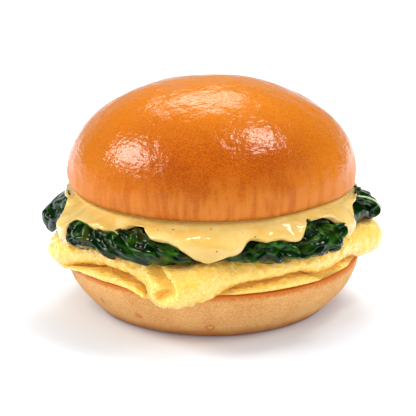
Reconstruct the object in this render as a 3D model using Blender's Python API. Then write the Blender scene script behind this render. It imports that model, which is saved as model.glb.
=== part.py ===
"""A breakfast sandwich: a round glazed bun with a folded omelette, wilted spinach and a thick cheese sauce.

The pieces stack from the lower bun up: bun_heel, egg, spinach, sauce, bun_crown. All share one upright
axis, and the origin is the centre of the flat foot of the lower bun. X runs to the right and Y to the
back of the sandwich, so its front, with the open fold of the omelette, looks along -Y. Sizes are in
millimetres and angles in degrees, and a mesh gets its metres as it is made.
"""

import math
import random

import bmesh
import bpy
import numpy as np
from mathutils import Vector, noise
from mathutils.bvhtree import BVHTree

MM = 0.001
GAP = 0.35

# The bun: heights above the table, radii from the axis, and the powers that shape its curves.
HEEL_RADIUS = 50.7
HEEL_HEIGHT = 17.8
HEEL_FOOT_RADIUS = 37.5
HEEL_FLANK_RADIUS = 40.5
HEEL_FOOT_ROUND = 0.5
HEEL_RISE_POWER = 1.88
HEEL_SPREAD_POWER = 1.04
CROWN_BASE = 41.2
CROWN_FACE = 41.5
CROWN_RIM_RADIUS = 48.2
CROWN_RADIUS = 49.4
CROWN_TUCK = 1.9
CROWN_WIDEST = 44.9
CROWN_DOME = 32.1
CROWN_POWER = 0.935
CUT_EDGE_ROUND = 0.8
CUT_EDGE_RISE = 0.5
CUT_FACE_INSET = 4.0
HEEL_LIP = 1.3
HEEL_FOOT_EASE = (1.2, 0.35)

# The filling, between the two halves of the bun.
EGG_BOTTOM = HEEL_HEIGHT + GAP
EGG_TOP = 28.5
EGG_RADIUS = 49.6
EGG_DROOP_FROM = 46.5
EGG_DROOP_RATE = 0.016
EGG_DROOP_POWER = 1.6
EGG_EDGE_ROUND = 1.9
EGG_NOSE = 4.2
EGG_UNDERSIDE = 23.0
EGG_SHUT_WITHIN = 1.0
EGG_OPEN_BEYOND = 1.9
EGG_SEAM_DEPTH = 0.8
EGG_SEAM_GAPE = 0.35
EGG_LOWER_RADIUS = 50.9
EGG_LOWER_NOSE = 1.9
EGG_LIP_SHARE = 0.2
EGG_FOOT_SHARE = 0.85
EGG_RESTS_TO = 51.25
EGG_FLAP_CLEARANCE = 1.15
EGG_FLAP_NOSE = 1.2
EGG_REST_INSET = 0.9
SPINACH_TOP = 37.6
SPINACH_GAP = 0.85
SPINACH_FOOT = EGG_TOP + GAP + 0.1
SPINACH_FLAT_RADIUS = 26.0
SPINACH_RADIUS = 49.8
SPINACH_CENTRE_RADIUS = 38.0
SPINACH_SHOULDER_POWER = 0.85
SPINACH_FOOT_POWER = 0.3
SAUCE_TOP = CROWN_BASE - GAP
SAUCE_FLOOR = SPINACH_TOP + GAP + 0.6
SAUCE_THICKNESS = 2.2
SAUCE_EDGE = 38.6
SAUCE_INSIDE_RADIUS = 47.6
SAUCE_LOWEST = EGG_TOP - 2.4
SAUCE_CLEARANCE = GAP + 0.3

# Hills and dips round the sandwich, each an angle, a height, and a spread before and after the angle.
# The crown's cut edge lifts a little at the right of the front, and at the back.
CROWN_RIM_LIFTS = ((-45, 0.9, 22, 22), (120, 0.5, 40, 40))
# The omelette's four corners, and how much more steeply each bends down past the bun.
EGG_CORNERS = ((-168, 8.2, 15, 14), (-102, 8.6, 12.5, 14), (0, 10.0, 14, 14), (77, 7.5, 15, 15))
EGG_DROOPS = (
    (-170, 0.105, 20, 14), (-102, 0.035, 12, 16), (-46, 0.1, 15, 15), (0, 0.008, 18, 18), (77, 0.05, 16, 16),
)
# The underside of its upper fold, which dips where a corner hides the fold below.
EGG_UNDERSIDES = (
    (-170, -6.6, 24, 18), (-147, -2.0, 14, 12), (-126, -1.2, 8, 7), (-105, -8.8, 12, 21),
    (-70, -1.3, 14, 14), (-42, -3.6, 10, 14), (0, -6.4, 27, 14), (77, -4.0, 13, 13),
)
# The edge of its lower fold, and how far that hangs over the bun.
EGG_LOWER_EDGES = ((-164, 3.2, 10, 14), (-138, 1.2, 16, 16), (-111, 3.2, 9, 6))
EGG_HANGS = ((-163, 2.4, 10, 10), (-110, 2.2, 9, 9))
# The open seam between the folds: how deep it goes, and how wide it gapes.
EGG_SEAM_DEPTHS = ((-128, 4.0, 22, 12), (-60, 2.0, 22, 22), (40, 2.4, 14, 14), (130, 3.0, 30, 30))
EGG_SEAM_GAPES = ((-122, 0.9, 14, 8), (-60, 0.5, 22, 22), (130, 0.8, 30, 30))
# The clumps of spinach, which bulge past the bun.
SPINACH_CLUMPS = (
    (178, 7.8, 11, 11), (-146, 3.6, 9, 9), (-115, 4.6, 17, 16), (-66, 2.8, 9, 9), (-47, 3.8, 9, 9),
    (0, 5.6, 9, 9), (34, 3.0, 10, 10), (66, 4.0, 11, 11), (103, 3.2, 10, 10), (138, 3.6, 11, 11),
)

# How far the clumps sag past the edge of the bun.
SPINACH_SAGS = ((-170, 4.8, 15, 14), (-146, 1.0, 9, 9), (2, 1.4, 12, 12))
SPINACH_SAG_FROM = 50.0
SPINACH_SAG_FULL = 57.0
SPINACH_SAG_CLEARANCE = 1.2

# The crease down the front corner, where one flap is tucked behind the other: angle, radius and height.
EGG_CREASE = (
    (-110.0, 51.0, 29.0), (-107.1, 55.0, 25.9), (-104.1, 57.5, 22.9), (-103.5, 58.0, 21.2),
    (-106.5, 57.0, 18.8),
)
EGG_CREASE_DEPTH = 2.3
EGG_CREASE_WIDTH = 2.5

# A lobe of sauce: its angle, its half width, and how far it runs down.
SAUCE_LOBES = (
    (-154, 7.6, 12.8), (-126, 7.0, 2.8), (-99, 11.0, 3.0), (-91.5, 9.5, 9.2), (-88.5, 12.0, 6.6),
    (-72, 12.0, 2.0), (-61.5, 5.2, 3.8), (-29, 9.5, 6.4), (-29, 7.5, 9.0), (26, 8.0, 3.0), (48, 7.0, 8.4),
    (82, 10.0, 4.2), (84, 5.0, 7.2), (118, 7.5, 9.4), (142, 9.0, 3.6), (158, 6.0, 2.2),
)
# Where the spinach comes out past the sauce: an angle, how far to each side, and how wide the edge is.
SAUCE_BREAKS = ((180, 14, 7), (-117.5, 1.5, 5), (-48, 4.2, 5.5), (-2, 15, 7))

# A spinach leaf: angle, height on the rim from 1 at its top to -1 at its foot, length, width, and turn.
LEAVES = (
    (-176, 0.30, 26, 17, 18), (-173, -0.45, 22, 13, -28), (-150, 0.25, 22, 15, -32),
    (-141, -0.30, 21, 12, -12), (-126, -0.25, 24, 12, -14), (-108, -0.35, 26, 11, -16),
    (-79, -0.30, 13, 8, 12), (-68, -0.05, 20, 12, -26), (-57, -0.45, 22, 11, 14),
    (-46, 0.30, 19, 14, 24), (-40, -0.35, 17, 11, 30), (-4, 0.35, 20, 13, -20),
    (4, -0.30, 17, 11, 34), (30, -0.10, 24, 13, -15), (62, 0.05, 26, 14, 16),
    (98, -0.15, 25, 13, -18), (134, 0.10, 26, 14, 20),
)
LEAF_THICKNESS = 2.2
LEAF_EDGE_SHARE = 0.5
LEAF_CLEARANCE = 0.8
LEAF_LIFT = 0.2
LEAF_FOLD = 0.6
LEAF_CURL = 1.5
LEAF_CELLS = (5, 3)
# Leaves are laid out on a sheet wrapped round the rim: its radius, the rise from middle to edge, and its end.
LEAF_SHEET_RADIUS = 52.0
LEAF_RISE = 7.0
LEAF_CLIMB = 0.86

# Uneven surfaces, each a depth, the size of its lumps, and a seed.
CROWN_RELIEF = (0.45, 17.0, 3.0)
CROWN_RIPPLE = (0.22, 4.5, 8.0)
HEEL_RELIEF = (0.35, 13.0, 11.0)
HEEL_RIPPLE = (0.25, 6.0, 5.0)
EGG_RELIEF = (0.45, 7.0, 21.0)
EGG_WAVE = (0.5, 8.0, 31.0)
SPINACH_RELIEF = (0.5, 5.5, 41.0)
SAUCE_RELIEF = (0.35, 10.0, 71.0)

# The fineness of each mesh.
BUN_COLUMNS = 60
CROWN_ROWS = 9
HEEL_ROWS = 7
EGG_COLUMNS = 100
SPINACH_COLUMNS = 60
SPINACH_ROWS = 8
SAUCE_COLUMNS = 100
SAUCE_FLOW_ROWS = 6
SAUCE_BED_ROWS = 14


def clear_scene():
    """Removes every object, so that the model stands alone."""
    for found in list(bpy.data.objects):
        bpy.data.objects.remove(found, do_unlink=True)


def make_material(name, colour, roughness):
    """A plain food surface of one colour."""
    made = bpy.data.materials.new(name)
    made.use_nodes = True
    shader = made.node_tree.nodes["Principled BSDF"]
    shader.inputs["Base Color"].default_value = (*colour, 1.0)
    shader.inputs["Roughness"].default_value = roughness
    shader.inputs["Metallic"].default_value = 0.0
    return made


def turn_between(angle, centre):
    """The signed turn from centre to angle, from -180 to 180 degrees."""
    return (angle - centre + 180.0) % 360.0 - 180.0


def bump(angle, centre, before, after):
    """A smooth bump of height 1 at centre, with its own spread on each side."""
    turn = turn_between(angle, centre)
    return math.exp(-((turn / (before if turn < 0 else after)) ** 2))


def smooth_step(low, high, value):
    """Rises smoothly from 0 at low to 1 at high."""
    share = min(1.0, max(0.0, (value - low) / (high - low)))
    return share * share * (3.0 - 2.0 * share)


def hills(angle, table):
    """The sum at an angle of the hills and dips in a table."""
    return sum(height * bump(angle, centre, before, after) for centre, height, before, after in table)


def uneven(relief, radius, angle, height):
    """How far an uneven surface stands out at a point, from a smooth noise with lumps of its own size."""
    depth, size, seed = relief
    turn = math.radians(angle)
    place = Vector((radius * math.cos(turn), radius * math.sin(turn), height)) / size
    return depth * noise.noise(place + Vector((seed, seed * 1.7, seed * 2.3)))


def even_angles(count):
    """Angles spaced evenly round the axis."""
    return [360.0 * step / count - 180.0 for step in range(count)]


def dense_angles(count, centre, spread, extra):
    """Angles round the axis, closer together near a centre angle."""
    fine = np.linspace(-180.0, 180.0, 1441)
    density = np.array([1.0 + extra * bump(angle, centre, spread, spread) for angle in fine])
    share = np.concatenate([[0.0], np.cumsum((density[1:] + density[:-1]) / 2.0)])
    wanted = np.arange(count) / count * share[-1]
    return list(np.interp(wanted, share, fine))


def point_at(angle, radius, height):
    """The point in metres at an angle in degrees, and a radius and height in millimetres."""
    turn = math.radians(angle)
    return Vector((radius * math.cos(turn), radius * math.sin(turn), height)) * MM


def loft(name, angles, section, finish=None):
    """A closed body from sections: section(angle) lists radius and height from the top centre to the foot."""
    shape = bmesh.new()
    profiles = [section(angle) for angle in angles]
    top = shape.verts.new((0.0, 0.0, profiles[0][0][1] * MM))
    foot = shape.verts.new((0.0, 0.0, profiles[0][-1][1] * MM))
    rings = [
        [shape.verts.new(point_at(angle, radius, height)) for radius, height in profile[1:-1]]
        for angle, profile in zip(angles, profiles)
    ]
    for here, there in zip(rings, rings[1:] + rings[:1]):
        shape.faces.new((top, here[0], there[0]))
        for upper, lower in zip(range(len(here) - 1), range(1, len(here))):
            shape.faces.new((here[upper], here[lower], there[lower], there[upper]))
        shape.faces.new((foot, there[-1], here[-1]))
    if finish is not None:
        finish(shape)
    bmesh.ops.triangulate(shape, faces=shape.faces[:], quad_method="SHORT_EDGE")
    mesh = bpy.data.meshes.new(name)
    shape.to_mesh(mesh)
    shape.free()
    mesh.shade_smooth()
    mesh.set_sharp_from_angle(angle=math.radians(50.0))
    body = bpy.data.objects.new(name, mesh)
    bpy.context.scene.collection.objects.link(body)
    return body


def crown_section(angle):
    """The top bun: a round dome that draws in a little at its cut edge, over a flat cut face."""
    rim = CROWN_BASE + hills(angle, CROWN_RIM_LIFTS)
    profile = [(0.0, CROWN_WIDEST + CROWN_DOME)]
    for row in range(1, CROWN_ROWS + 1):
        climb = math.radians(90.0 * (1.0 - row / (CROWN_ROWS + 0.5)))
        radius = CROWN_RADIUS * math.cos(climb)
        height = CROWN_WIDEST + CROWN_DOME * math.sin(climb) ** CROWN_POWER
        relief = uneven(CROWN_RELIEF, radius, angle, height)
        profile.append((radius + relief, height + relief * math.sin(climb)))
    ripple = uneven(CROWN_RIPPLE, CROWN_RADIUS, angle, rim)
    profile.append((CROWN_RADIUS - GAP + ripple, rim + CROWN_TUCK))
    profile.append((CROWN_RIM_RADIUS + ripple, rim + CUT_EDGE_RISE))
    profile.append((CROWN_RIM_RADIUS - CUT_EDGE_ROUND + ripple, rim))
    profile.append((CROWN_RIM_RADIUS - CUT_FACE_INSET, CROWN_FACE))
    profile.append((0.0, CROWN_FACE))
    return profile


def heel_section(angle):
    """The lower bun: a flat cut face, a crisp edge, and a flank that rounds in to a flat foot."""
    ripple = uneven(HEEL_RIPPLE, HEEL_RADIUS, angle, 0.0)
    profile = [(0.0, HEEL_HEIGHT), (HEEL_FOOT_RADIUS, HEEL_HEIGHT), (HEEL_RADIUS - HEEL_LIP, HEEL_HEIGHT)]
    profile.append((HEEL_RADIUS - CUT_EDGE_ROUND / 2.0 + ripple, HEEL_HEIGHT - GAP))
    for row in range(HEEL_ROWS):
        share = 0.95 * (1.0 - row / (HEEL_ROWS - 0.4))
        bulge = (1.0 - (1.0 - share) ** HEEL_RISE_POWER) ** HEEL_SPREAD_POWER
        radius = HEEL_FLANK_RADIUS + (HEEL_RADIUS - HEEL_FLANK_RADIUS) * bulge
        height = HEEL_FOOT_ROUND + (HEEL_HEIGHT - HEEL_FOOT_ROUND) * share
        relief = uneven(HEEL_RELIEF, radius, angle, height) * (1.0 - share) + ripple * share
        profile.append((radius + relief, height))
    profile.append((HEEL_FOOT_RADIUS + HEEL_FOOT_EASE[0], HEEL_FOOT_EASE[1]))
    profile.append((HEEL_FOOT_RADIUS, 0.0))
    profile.append((0.0, 0.0))
    return profile


def egg_reach(angle):
    """The radius of the omelette's upper fold, which has four soft corners."""
    return EGG_RADIUS + hills(angle, EGG_CORNERS)


def egg_top_at(angle, radius):
    """The height of the omelette's upper face, which bends down past the bun and rounds off at its edge."""
    reach = egg_reach(angle)
    droop = (EGG_DROOP_RATE + hills(angle, EGG_DROOPS)) * max(0.0, radius - EGG_DROOP_FROM) ** EGG_DROOP_POWER
    return EGG_TOP - droop - EGG_EDGE_ROUND * smooth_step(reach - 6.0, reach + 1.0, radius) ** 2


def egg_lower_fold(angle, under, back_radius, shut):
    """The points of the omelette's edge below its upper fold: the seam, then the nose of the lower fold."""
    lower = EGG_LOWER_RADIUS + hills(angle, EGG_LOWER_EDGES)
    gape = EGG_SEAM_GAPE + hills(angle, EGG_SEAM_GAPES) * (1.0 - shut)
    depth = EGG_SEAM_DEPTH + hills(angle, EGG_SEAM_DEPTHS) * (1.0 - shut)
    back = min(back_radius, lower - EGG_LOWER_NOSE) - depth
    lip = under - gape
    hang = hills(angle, EGG_HANGS)
    rest = min(EGG_RESTS_TO, lower - EGG_REST_INSET)
    thickness = lip - EGG_BOTTOM + hang
    sag = (0.5 + hang) * smooth_step(EGG_RESTS_TO - 0.1, EGG_RESTS_TO + 0.4, back_radius)
    opened = (
        (back + 0.9, under + 0.1),
        (back, under - gape / 2.0),
        (lower - EGG_LOWER_NOSE, lip),
        (lower - 0.5, lip - EGG_LIP_SHARE * thickness),
        (lower, lip - 0.5 * thickness),
        (lower - 0.4, lip - EGG_FOOT_SHARE * thickness),
    )
    points = []
    for step, (radius, height) in enumerate(opened, 1):
        share = step / (len(opened) + 1.0)
        closed_radius = back_radius * (1.0 - share) + rest * share
        closed_height = under * (1.0 - share) + EGG_BOTTOM * share - sag * math.sin(math.pi * share)
        points.append((radius + (closed_radius - radius) * shut, height + (closed_height - height) * shut))
    points.append((rest, EGG_BOTTOM))
    return points


def egg_section(angle):
    """The omelette: an upper fold with a round edge over a lower one, with an open seam between them."""
    upper = egg_reach(angle) + uneven(EGG_WAVE, HEEL_RADIUS, angle, 0.0)
    under = EGG_UNDERSIDE + hills(angle, EGG_UNDERSIDES)
    profile = [(0.0, EGG_TOP)]
    for radius in (20.0, 36.0, upper - 6.0, upper - 3.4):
        height = egg_top_at(angle, radius)
        relief = uneven(EGG_RELIEF, radius, angle, height) * smooth_step(20.0, 44.0, radius)
        profile.append((radius, height + relief))
    half = (egg_top_at(angle, upper - 1.5) - under) / 2.0
    nose = min(EGG_NOSE, 0.9 * half)
    hanging = smooth_step(EGG_BOTTOM + 0.5, EGG_BOTTOM - 0.3, under)
    clear = min(nose, max(EGG_FLAP_NOSE, upper - EGG_RESTS_TO - EGG_FLAP_CLEARANCE))
    nose += (clear - nose) * hanging
    for turn in (55.0, 18.0, -18.0, -55.0):
        slope = math.radians(turn)
        profile.append((upper - nose + nose * math.cos(slope), under + half + half * math.sin(slope)))
    profile.append((upper - nose, under))
    shut = smooth_step(EGG_OPEN_BEYOND, EGG_SHUT_WITHIN, under - EGG_BOTTOM + hills(angle, EGG_HANGS))
    profile.extend(egg_lower_fold(angle, under, upper - nose, shut))
    profile.append((30.0, EGG_BOTTOM))
    profile.append((0.0, EGG_BOTTOM))
    return profile


def press_crease(shape):
    """Presses the crease at the front corner, where one flap of the omelette is tucked behind the other."""
    line = [point_at(*place) for place in EGG_CREASE]
    for vert in shape.verts:
        reach = min(
            (vert.co - start.lerp(end, share / 10.0)).length
            for start, end in zip(line, line[1:])
            for share in range(11)
        )
        inward = Vector((-vert.co.x, -vert.co.y, -0.02)).normalized()
        vert.co += inward * EGG_CREASE_DEPTH * MM * math.exp(-((reach / (EGG_CREASE_WIDTH * MM)) ** 2))


def spinach_rim(angle, climb, lift=0.0, clear=0.0):
    """A point on the spinach's rim: climb runs from 1 at its top to -1 at its foot."""
    slope = math.radians(90.0 * climb)
    power = SPINACH_SHOULDER_POWER if climb > 0 else SPINACH_FOOT_POWER
    bulge = SPINACH_RADIUS + hills(angle, SPINACH_CLUMPS) - SPINACH_CENTRE_RADIUS + lift
    radius = SPINACH_CENTRE_RADIUS + bulge * math.cos(slope) ** power
    floor = egg_top_at(angle, min(radius, egg_reach(angle))) + SPINACH_GAP + clear
    top = SPINACH_TOP - 0.8 * clear
    height = (top + floor + (top - floor) * math.sin(slope)) / 2.0
    sag = hills(angle, SPINACH_SAGS) * smooth_step(SPINACH_SAG_FROM, SPINACH_SAG_FULL, radius)
    return radius, max(min(height, floor + SPINACH_SAG_CLEARANCE), height - sag)


def spinach_section(angle):
    """The mass of leaves between the omelette and the sauce."""
    profile = [(0.0, SPINACH_TOP), (SPINACH_FLAT_RADIUS, SPINACH_TOP)]
    for climb in np.linspace(0.98, -0.98, SPINACH_ROWS):
        radius, height = spinach_rim(angle, climb)
        crumple = uneven(SPINACH_RELIEF, radius, angle, height * 1.6) * (1.0 - abs(climb))
        profile.append((radius + crumple, height))
    profile.append((SPINACH_FLAT_RADIUS, SPINACH_FOOT))
    profile.append((0.0, SPINACH_FOOT))
    return profile


def leaf_outline(along):
    """A leaf's half width, as a share of its widest, from its stalk at -1 to its tip at 1."""
    return 0.25 + 0.75 * (1.0 - along * along) ** 0.7 * (1.0 - 0.2 * along)


def leaf_point(leaf, phase, along, side):
    """The point in metres on a leaf's middle face, from -1 to 1 along its length and from side to side."""
    angle, climb, length, width, turn = leaf
    across = side * leaf_outline(along)
    cos_turn, sin_turn = math.cos(math.radians(turn)), math.sin(math.radians(turn))
    east = (along * length * cos_turn - across * width * sin_turn) / 2.0
    rise = (along * length * sin_turn + across * width * cos_turn) / 2.0
    here = angle + math.degrees(east / LEAF_SHEET_RADIUS)
    slope = LEAF_CLIMB * math.tanh((climb + rise / LEAF_RISE) / LEAF_CLIMB)
    fold = LEAF_FOLD * math.sin(3.0 * side + 2.2 * along + phase)
    curl = LEAF_CURL * side * side * (0.5 + 0.5 * math.sin(2.4 * along + phase))
    lift = (LEAF_LIFT + fold + curl) * (1.0 - slope * slope)
    return point_at(here, *spinach_rim(here, slope, lift, LEAF_CLEARANCE))


def make_leaf(index, leaf):
    """One wilted leaf, thin and wavy, lying over the rim of the spinach and thinner at its edge."""
    phase = random.Random(100 + index).uniform(0.0, math.tau)
    cells_long, cells_wide = LEAF_CELLS
    shape = bmesh.new()
    plump = shape.verts.layers.deform.verify()
    rows = []
    for i in range(cells_long + 1):
        row = []
        for j in range(cells_wide + 1):
            along, side = 2.0 * i / cells_long - 1.0, 2.0 * j / cells_wide - 1.0
            vert = shape.verts.new(leaf_point(leaf, phase, along, side))
            vert[plump][0] = float(0 < i < cells_long and 0 < j < cells_wide)
            row.append(vert)
        rows.append(row)
    for near, far in zip(rows, rows[1:]):
        for j in range(cells_wide):
            shape.faces.new((near[j], far[j], far[j + 1], near[j + 1]))
    bmesh.ops.triangulate(shape, faces=shape.faces[:], quad_method="FIXED")
    mesh = bpy.data.meshes.new(f"leaf_{index:02d}")
    shape.to_mesh(mesh)
    shape.free()
    body = bpy.data.objects.new(mesh.name, mesh)
    solid = body.modifiers.new("thickness", "SOLIDIFY")
    solid.vertex_group = body.vertex_groups.new(name="middle").name
    solid.thickness_vertex_group = LEAF_EDGE_SHARE
    solid.thickness = LEAF_THICKNESS * MM
    solid.offset = 0.0
    return body


def signed_volume(faces):
    """The volume inside some faces, negative where they face into a hollow."""
    total = 0.0
    for face in faces:
        corners = [vert.co for vert in face.verts]
        for second, third in zip(corners[1:], corners[2:]):
            total += corners[0].dot(second.cross(third)) / 6.0
    return total


def keep_outer_shell(mesh):
    """Fills the hollows that a union sealed, and drops loose scraps, by keeping the largest shell."""
    shape = bmesh.new()
    shape.from_mesh(mesh)
    left = set(shape.faces)
    shells = []
    while left:
        shell, border = set(), [next(iter(left))]
        while border:
            face = border.pop()
            if face in shell:
                continue
            shell.add(face)
            border.extend(other for edge in face.edges for other in edge.link_faces if other not in shell)
        left -= shell
        shells.append(shell)
    outer = max(shells, key=signed_volume)
    doomed = [face for shell in shells if shell is not outer for face in shell]
    bmesh.ops.delete(shape, geom=doomed, context="FACES")
    shape.to_mesh(mesh)
    shape.free()


def apply_modifiers(body):
    """Replaces a body's mesh with what its modifiers make of it."""
    graph = bpy.context.evaluated_depsgraph_get()
    made = bpy.data.meshes.new_from_object(body.evaluated_get(graph))
    body.modifiers.clear()
    body.data = made


def build_spinach():
    """The heap of wilted leaves: its mass, with the leaves that show fused on."""
    heap = loft("spinach", even_angles(SPINACH_COLUMNS), spinach_section)
    leaves = bpy.data.collections.new("leaves")
    bpy.context.scene.collection.children.link(leaves)
    for index, leaf in enumerate(LEAVES):
        leaves.objects.link(make_leaf(index, leaf))
    join = heap.modifiers.new("leaves", "BOOLEAN")
    join.operation = "UNION"
    join.operand_type = "COLLECTION"
    join.collection = leaves
    join.solver = "MANIFOLD"
    weld = heap.modifiers.new("weld", "WELD")
    weld.merge_threshold = 0.002 * MM
    bpy.context.view_layer.update()
    apply_modifiers(heap)
    for leaf in list(leaves.objects):
        bpy.data.objects.remove(leaf, do_unlink=True)
    bpy.data.collections.remove(leaves)
    heap.data.name = "spinach"
    keep_outer_shell(heap.data)
    heap.data.shade_smooth()
    return heap


def sauce_cover(angle):
    """1 where the sauce runs out over the spinach, 0 where the spinach comes out past it."""
    return min(
        smooth_step(reach, reach + edge, abs(turn_between(angle, centre)))
        for centre, reach, edge in SAUCE_BREAKS
    )


def sauce_fall(angle):
    """How far down the sauce has run at an angle."""
    falls = [
        deep * (1.0 - min(1.0, abs(turn_between(angle, centre)) / half) ** 2.4) ** 0.7
        for centre, half, deep in SAUCE_LOBES
    ]
    return max(falls) * sauce_cover(angle) ** 2


def sauce_bed(tree, angle, heights):
    """The radius that the sauce lies on at each height, clear of what is within a column of it."""
    radii = []
    for height in heights:
        found = SAUCE_INSIDE_RADIUS - 1.6
        for sway in (-3.9, -2.6, -1.3, 0.0, 1.3, 2.6, 3.9):
            for shift in (-1.5, 0.0, 1.5):
                start = point_at(angle + sway, 75.0, height + shift)
                inward = Vector((-start.x, -start.y, 0.0)).normalized()
                hit = tree.ray_cast(start, inward, 35.0 * MM)[0]
                if hit is not None:
                    found = max(found, math.hypot(hit.x, hit.y) / MM)
        radii.append(found + SAUCE_CLEARANCE)
    return sauce_flow(radii)


def sauce_flow(radii):
    """Evens out a bed from top to foot, because thick sauce bridges small hollows."""
    for step in range(1, len(radii)):
        radii[step] = max(radii[step], radii[step - 1] - 0.9)
    for step in range(len(radii) - 2, -1, -1):
        radii[step] = max(radii[step], radii[step + 1] - 1.6)
    return np.array(radii)


def build_sauce(egg, spinach):
    """The sauce: a layer under the crown that wells out all round and runs down in lobes."""
    shape = bmesh.new()
    for below in (egg, spinach):
        shape.from_mesh(below.data)
    tree = BVHTree.FromBMesh(shape)
    shape.free()
    bed_heights = np.linspace(SPINACH_TOP - 0.4, EGG_TOP - 3.0, SAUCE_BED_ROWS)
    steps = np.linspace(0.0, 1.0, SAUCE_FLOW_ROWS)
    fullness = np.sqrt(np.clip(1.0 - (np.maximum(steps - 0.35, 0.0) / 0.65) ** 2 * 0.72, 0.0, 1.0))

    def section(angle):
        cover = sauce_cover(angle)
        bed = sauce_bed(tree, angle, bed_heights)
        bed = SAUCE_INSIDE_RADIUS + (bed - SAUCE_INSIDE_RADIUS) * smooth_step(0.0, 0.6, cover)
        start = SAUCE_FLOOR + (bed_heights[0] - SAUCE_FLOOR) * smooth_step(0.6, 1.0, cover)
        end = min(max(SAUCE_EDGE - sauce_fall(angle), SAUCE_LOWEST), start - 0.8 * cover - 0.1)
        heights = start + (end - start) * steps
        inner = np.interp(-heights, -bed_heights, bed)
        swell = SAUCE_THICKNESS + uneven(SAUCE_RELIEF, CROWN_RADIUS, angle, 0.0)
        profile = [(0.0, SAUCE_TOP), (30.0, SAUCE_TOP), (CROWN_RIM_RADIUS - 1.7, SAUCE_TOP - 0.1)]
        profile.append((CROWN_RIM_RADIUS + 0.7, SAUCE_TOP - 0.3))
        profile.append((CROWN_RIM_RADIUS + 1.2 + 0.6 * cover, CROWN_BASE - 1.1))
        for radius, height, full in zip(inner, heights, fullness):
            profile.append((radius + swell * full, height + 0.7 * (1.0 - (start - height) / 12.0)))
        profile.append((inner[-1] + 0.5 * swell, end - 0.55 * cover - 0.05))
        profile.extend(zip(inner[::-1], heights[::-1]))
        profile.append((SPINACH_CENTRE_RADIUS + 2.0, SAUCE_FLOOR))
        profile.append((0.0, SAUCE_FLOOR))
        return profile

    return loft("sauce", dense_angles(SAUCE_COLUMNS, -92, 75, 0.8), section)


def set_on(body, colour, roughness):
    """Gives a body its own material."""
    body.data.materials.clear()
    body.data.materials.append(make_material(body.name, colour, roughness))


def main():
    clear_scene()
    heel = loft("bun_heel", even_angles(BUN_COLUMNS), heel_section)
    set_on(heel, (0.80, 0.52, 0.27), 0.75)
    egg = loft("egg", dense_angles(EGG_COLUMNS, -108, 26, 2.2), egg_section, press_crease)
    set_on(egg, (0.98, 0.78, 0.27), 0.5)
    spinach = build_spinach()
    set_on(spinach, (0.05, 0.14, 0.03), 0.25)
    sauce = build_sauce(egg, spinach)
    set_on(sauce, (0.95, 0.77, 0.40), 0.2)
    crown = loft("bun_crown", even_angles(BUN_COLUMNS), crown_section)
    set_on(crown, (0.80, 0.36, 0.07), 0.3)


main()
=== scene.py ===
"""A breakfast sandwich, dressed: glazed bun, folded omelette, wilted spinach and thick cheese sauce.

Sizes are in millimetres and angles in degrees, and a mesh gets its metres as it is shaped. The origin is
the centre of the flat foot of the lower bun, X runs to the right and Y to the back, and the front of the
sandwich looks along -Y. Each layer of food is a class, and so is each of its finishes.
"""

import logging
import random
from dataclasses import dataclass
from enum import Enum
from functools import partial
from math import asin, atan2, cos, degrees, exp, hypot, pi, radians, sin, sqrt, tan, tanh
from typing import Callable, Iterable, Sequence

import bmesh
import bpy
from mathutils import Matrix, Quaternion, Vector, noise
from mathutils.bvhtree import BVHTree


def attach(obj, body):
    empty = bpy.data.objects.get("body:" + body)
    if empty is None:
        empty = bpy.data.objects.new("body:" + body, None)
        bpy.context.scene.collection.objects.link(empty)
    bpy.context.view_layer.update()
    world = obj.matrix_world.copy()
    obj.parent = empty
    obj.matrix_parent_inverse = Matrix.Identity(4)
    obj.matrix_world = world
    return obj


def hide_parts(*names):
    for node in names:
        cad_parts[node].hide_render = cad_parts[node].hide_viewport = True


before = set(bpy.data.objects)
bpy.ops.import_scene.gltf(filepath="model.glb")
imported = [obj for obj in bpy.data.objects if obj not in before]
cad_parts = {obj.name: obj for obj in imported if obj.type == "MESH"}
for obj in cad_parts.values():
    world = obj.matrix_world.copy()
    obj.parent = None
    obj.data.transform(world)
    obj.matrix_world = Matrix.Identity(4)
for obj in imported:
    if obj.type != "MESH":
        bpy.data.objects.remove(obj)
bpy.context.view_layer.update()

log = logging.getLogger("sandwich")

MM = 0.001
BODY = "root"
OUTSIDE = 75.0  # The radius that rays towards the axis start from.
HUB = 4.0  # The radius of a layer's innermost ring.
NOWHERE_NEAR = 99.0  # What stands for the distance to a crease that is elsewhere.
ALL_ROUND = (-180.0, 180.0)
KEY_TINT = (1.0, 0.97, 0.87)
FILL_TINT = (0.96, 0.98, 1.0)

Triple = tuple[float, float, float]
Colour = Triple
Profile = list[tuple[float, float]]
Material = bpy.types.Material
Piece = bpy.types.Object
Socket = bpy.types.NodeSocket


class Layer(Enum):
    """The layers of the sandwich, each a node of the model and the slot that holds its finish."""

    HEEL = ("bun_heel", "bun_heel_crust")
    EGG = ("egg", "egg")
    SPINACH = ("spinach", "spinach")
    SAUCE = ("sauce", "sauce")
    CROWN = ("bun_crown", "bun_crown_crust")

    @property
    def node(self) -> str:
        """The name of the layer's node."""
        return self.value[0]

    @property
    def slot(self) -> str:
        """The name of the layer's material slot."""
        return self.value[1]


class Grain(Enum):
    """The kinds of unevenness that a finish is made of."""

    LUMPS = "FBM"
    RIDGES = "RIDGED_MULTIFRACTAL"


@dataclass(frozen=True)
class Hill:
    """A smooth hill or dip round the sandwich, with its own spread before and after its angle."""

    angle: float
    height: float
    before: float
    after: float


@dataclass(frozen=True)
class Relief:
    """An uneven surface: how deep it is, how large its lumps are, and its seed."""

    depth: float
    size: float
    seed: float

    def at(self, place: Vector) -> float:
        """How far the surface stands out at a place in millimetres."""
        shift = Vector((self.seed, self.seed * 1.7, self.seed * 2.3))
        return self.depth * noise.noise(place / self.size + shift)


def turn_between(angle: float, centre: float) -> float:
    """The signed turn from centre to angle, from -180 to 180 degrees."""
    return (angle - centre + 180.0) % 360.0 - 180.0


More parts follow.
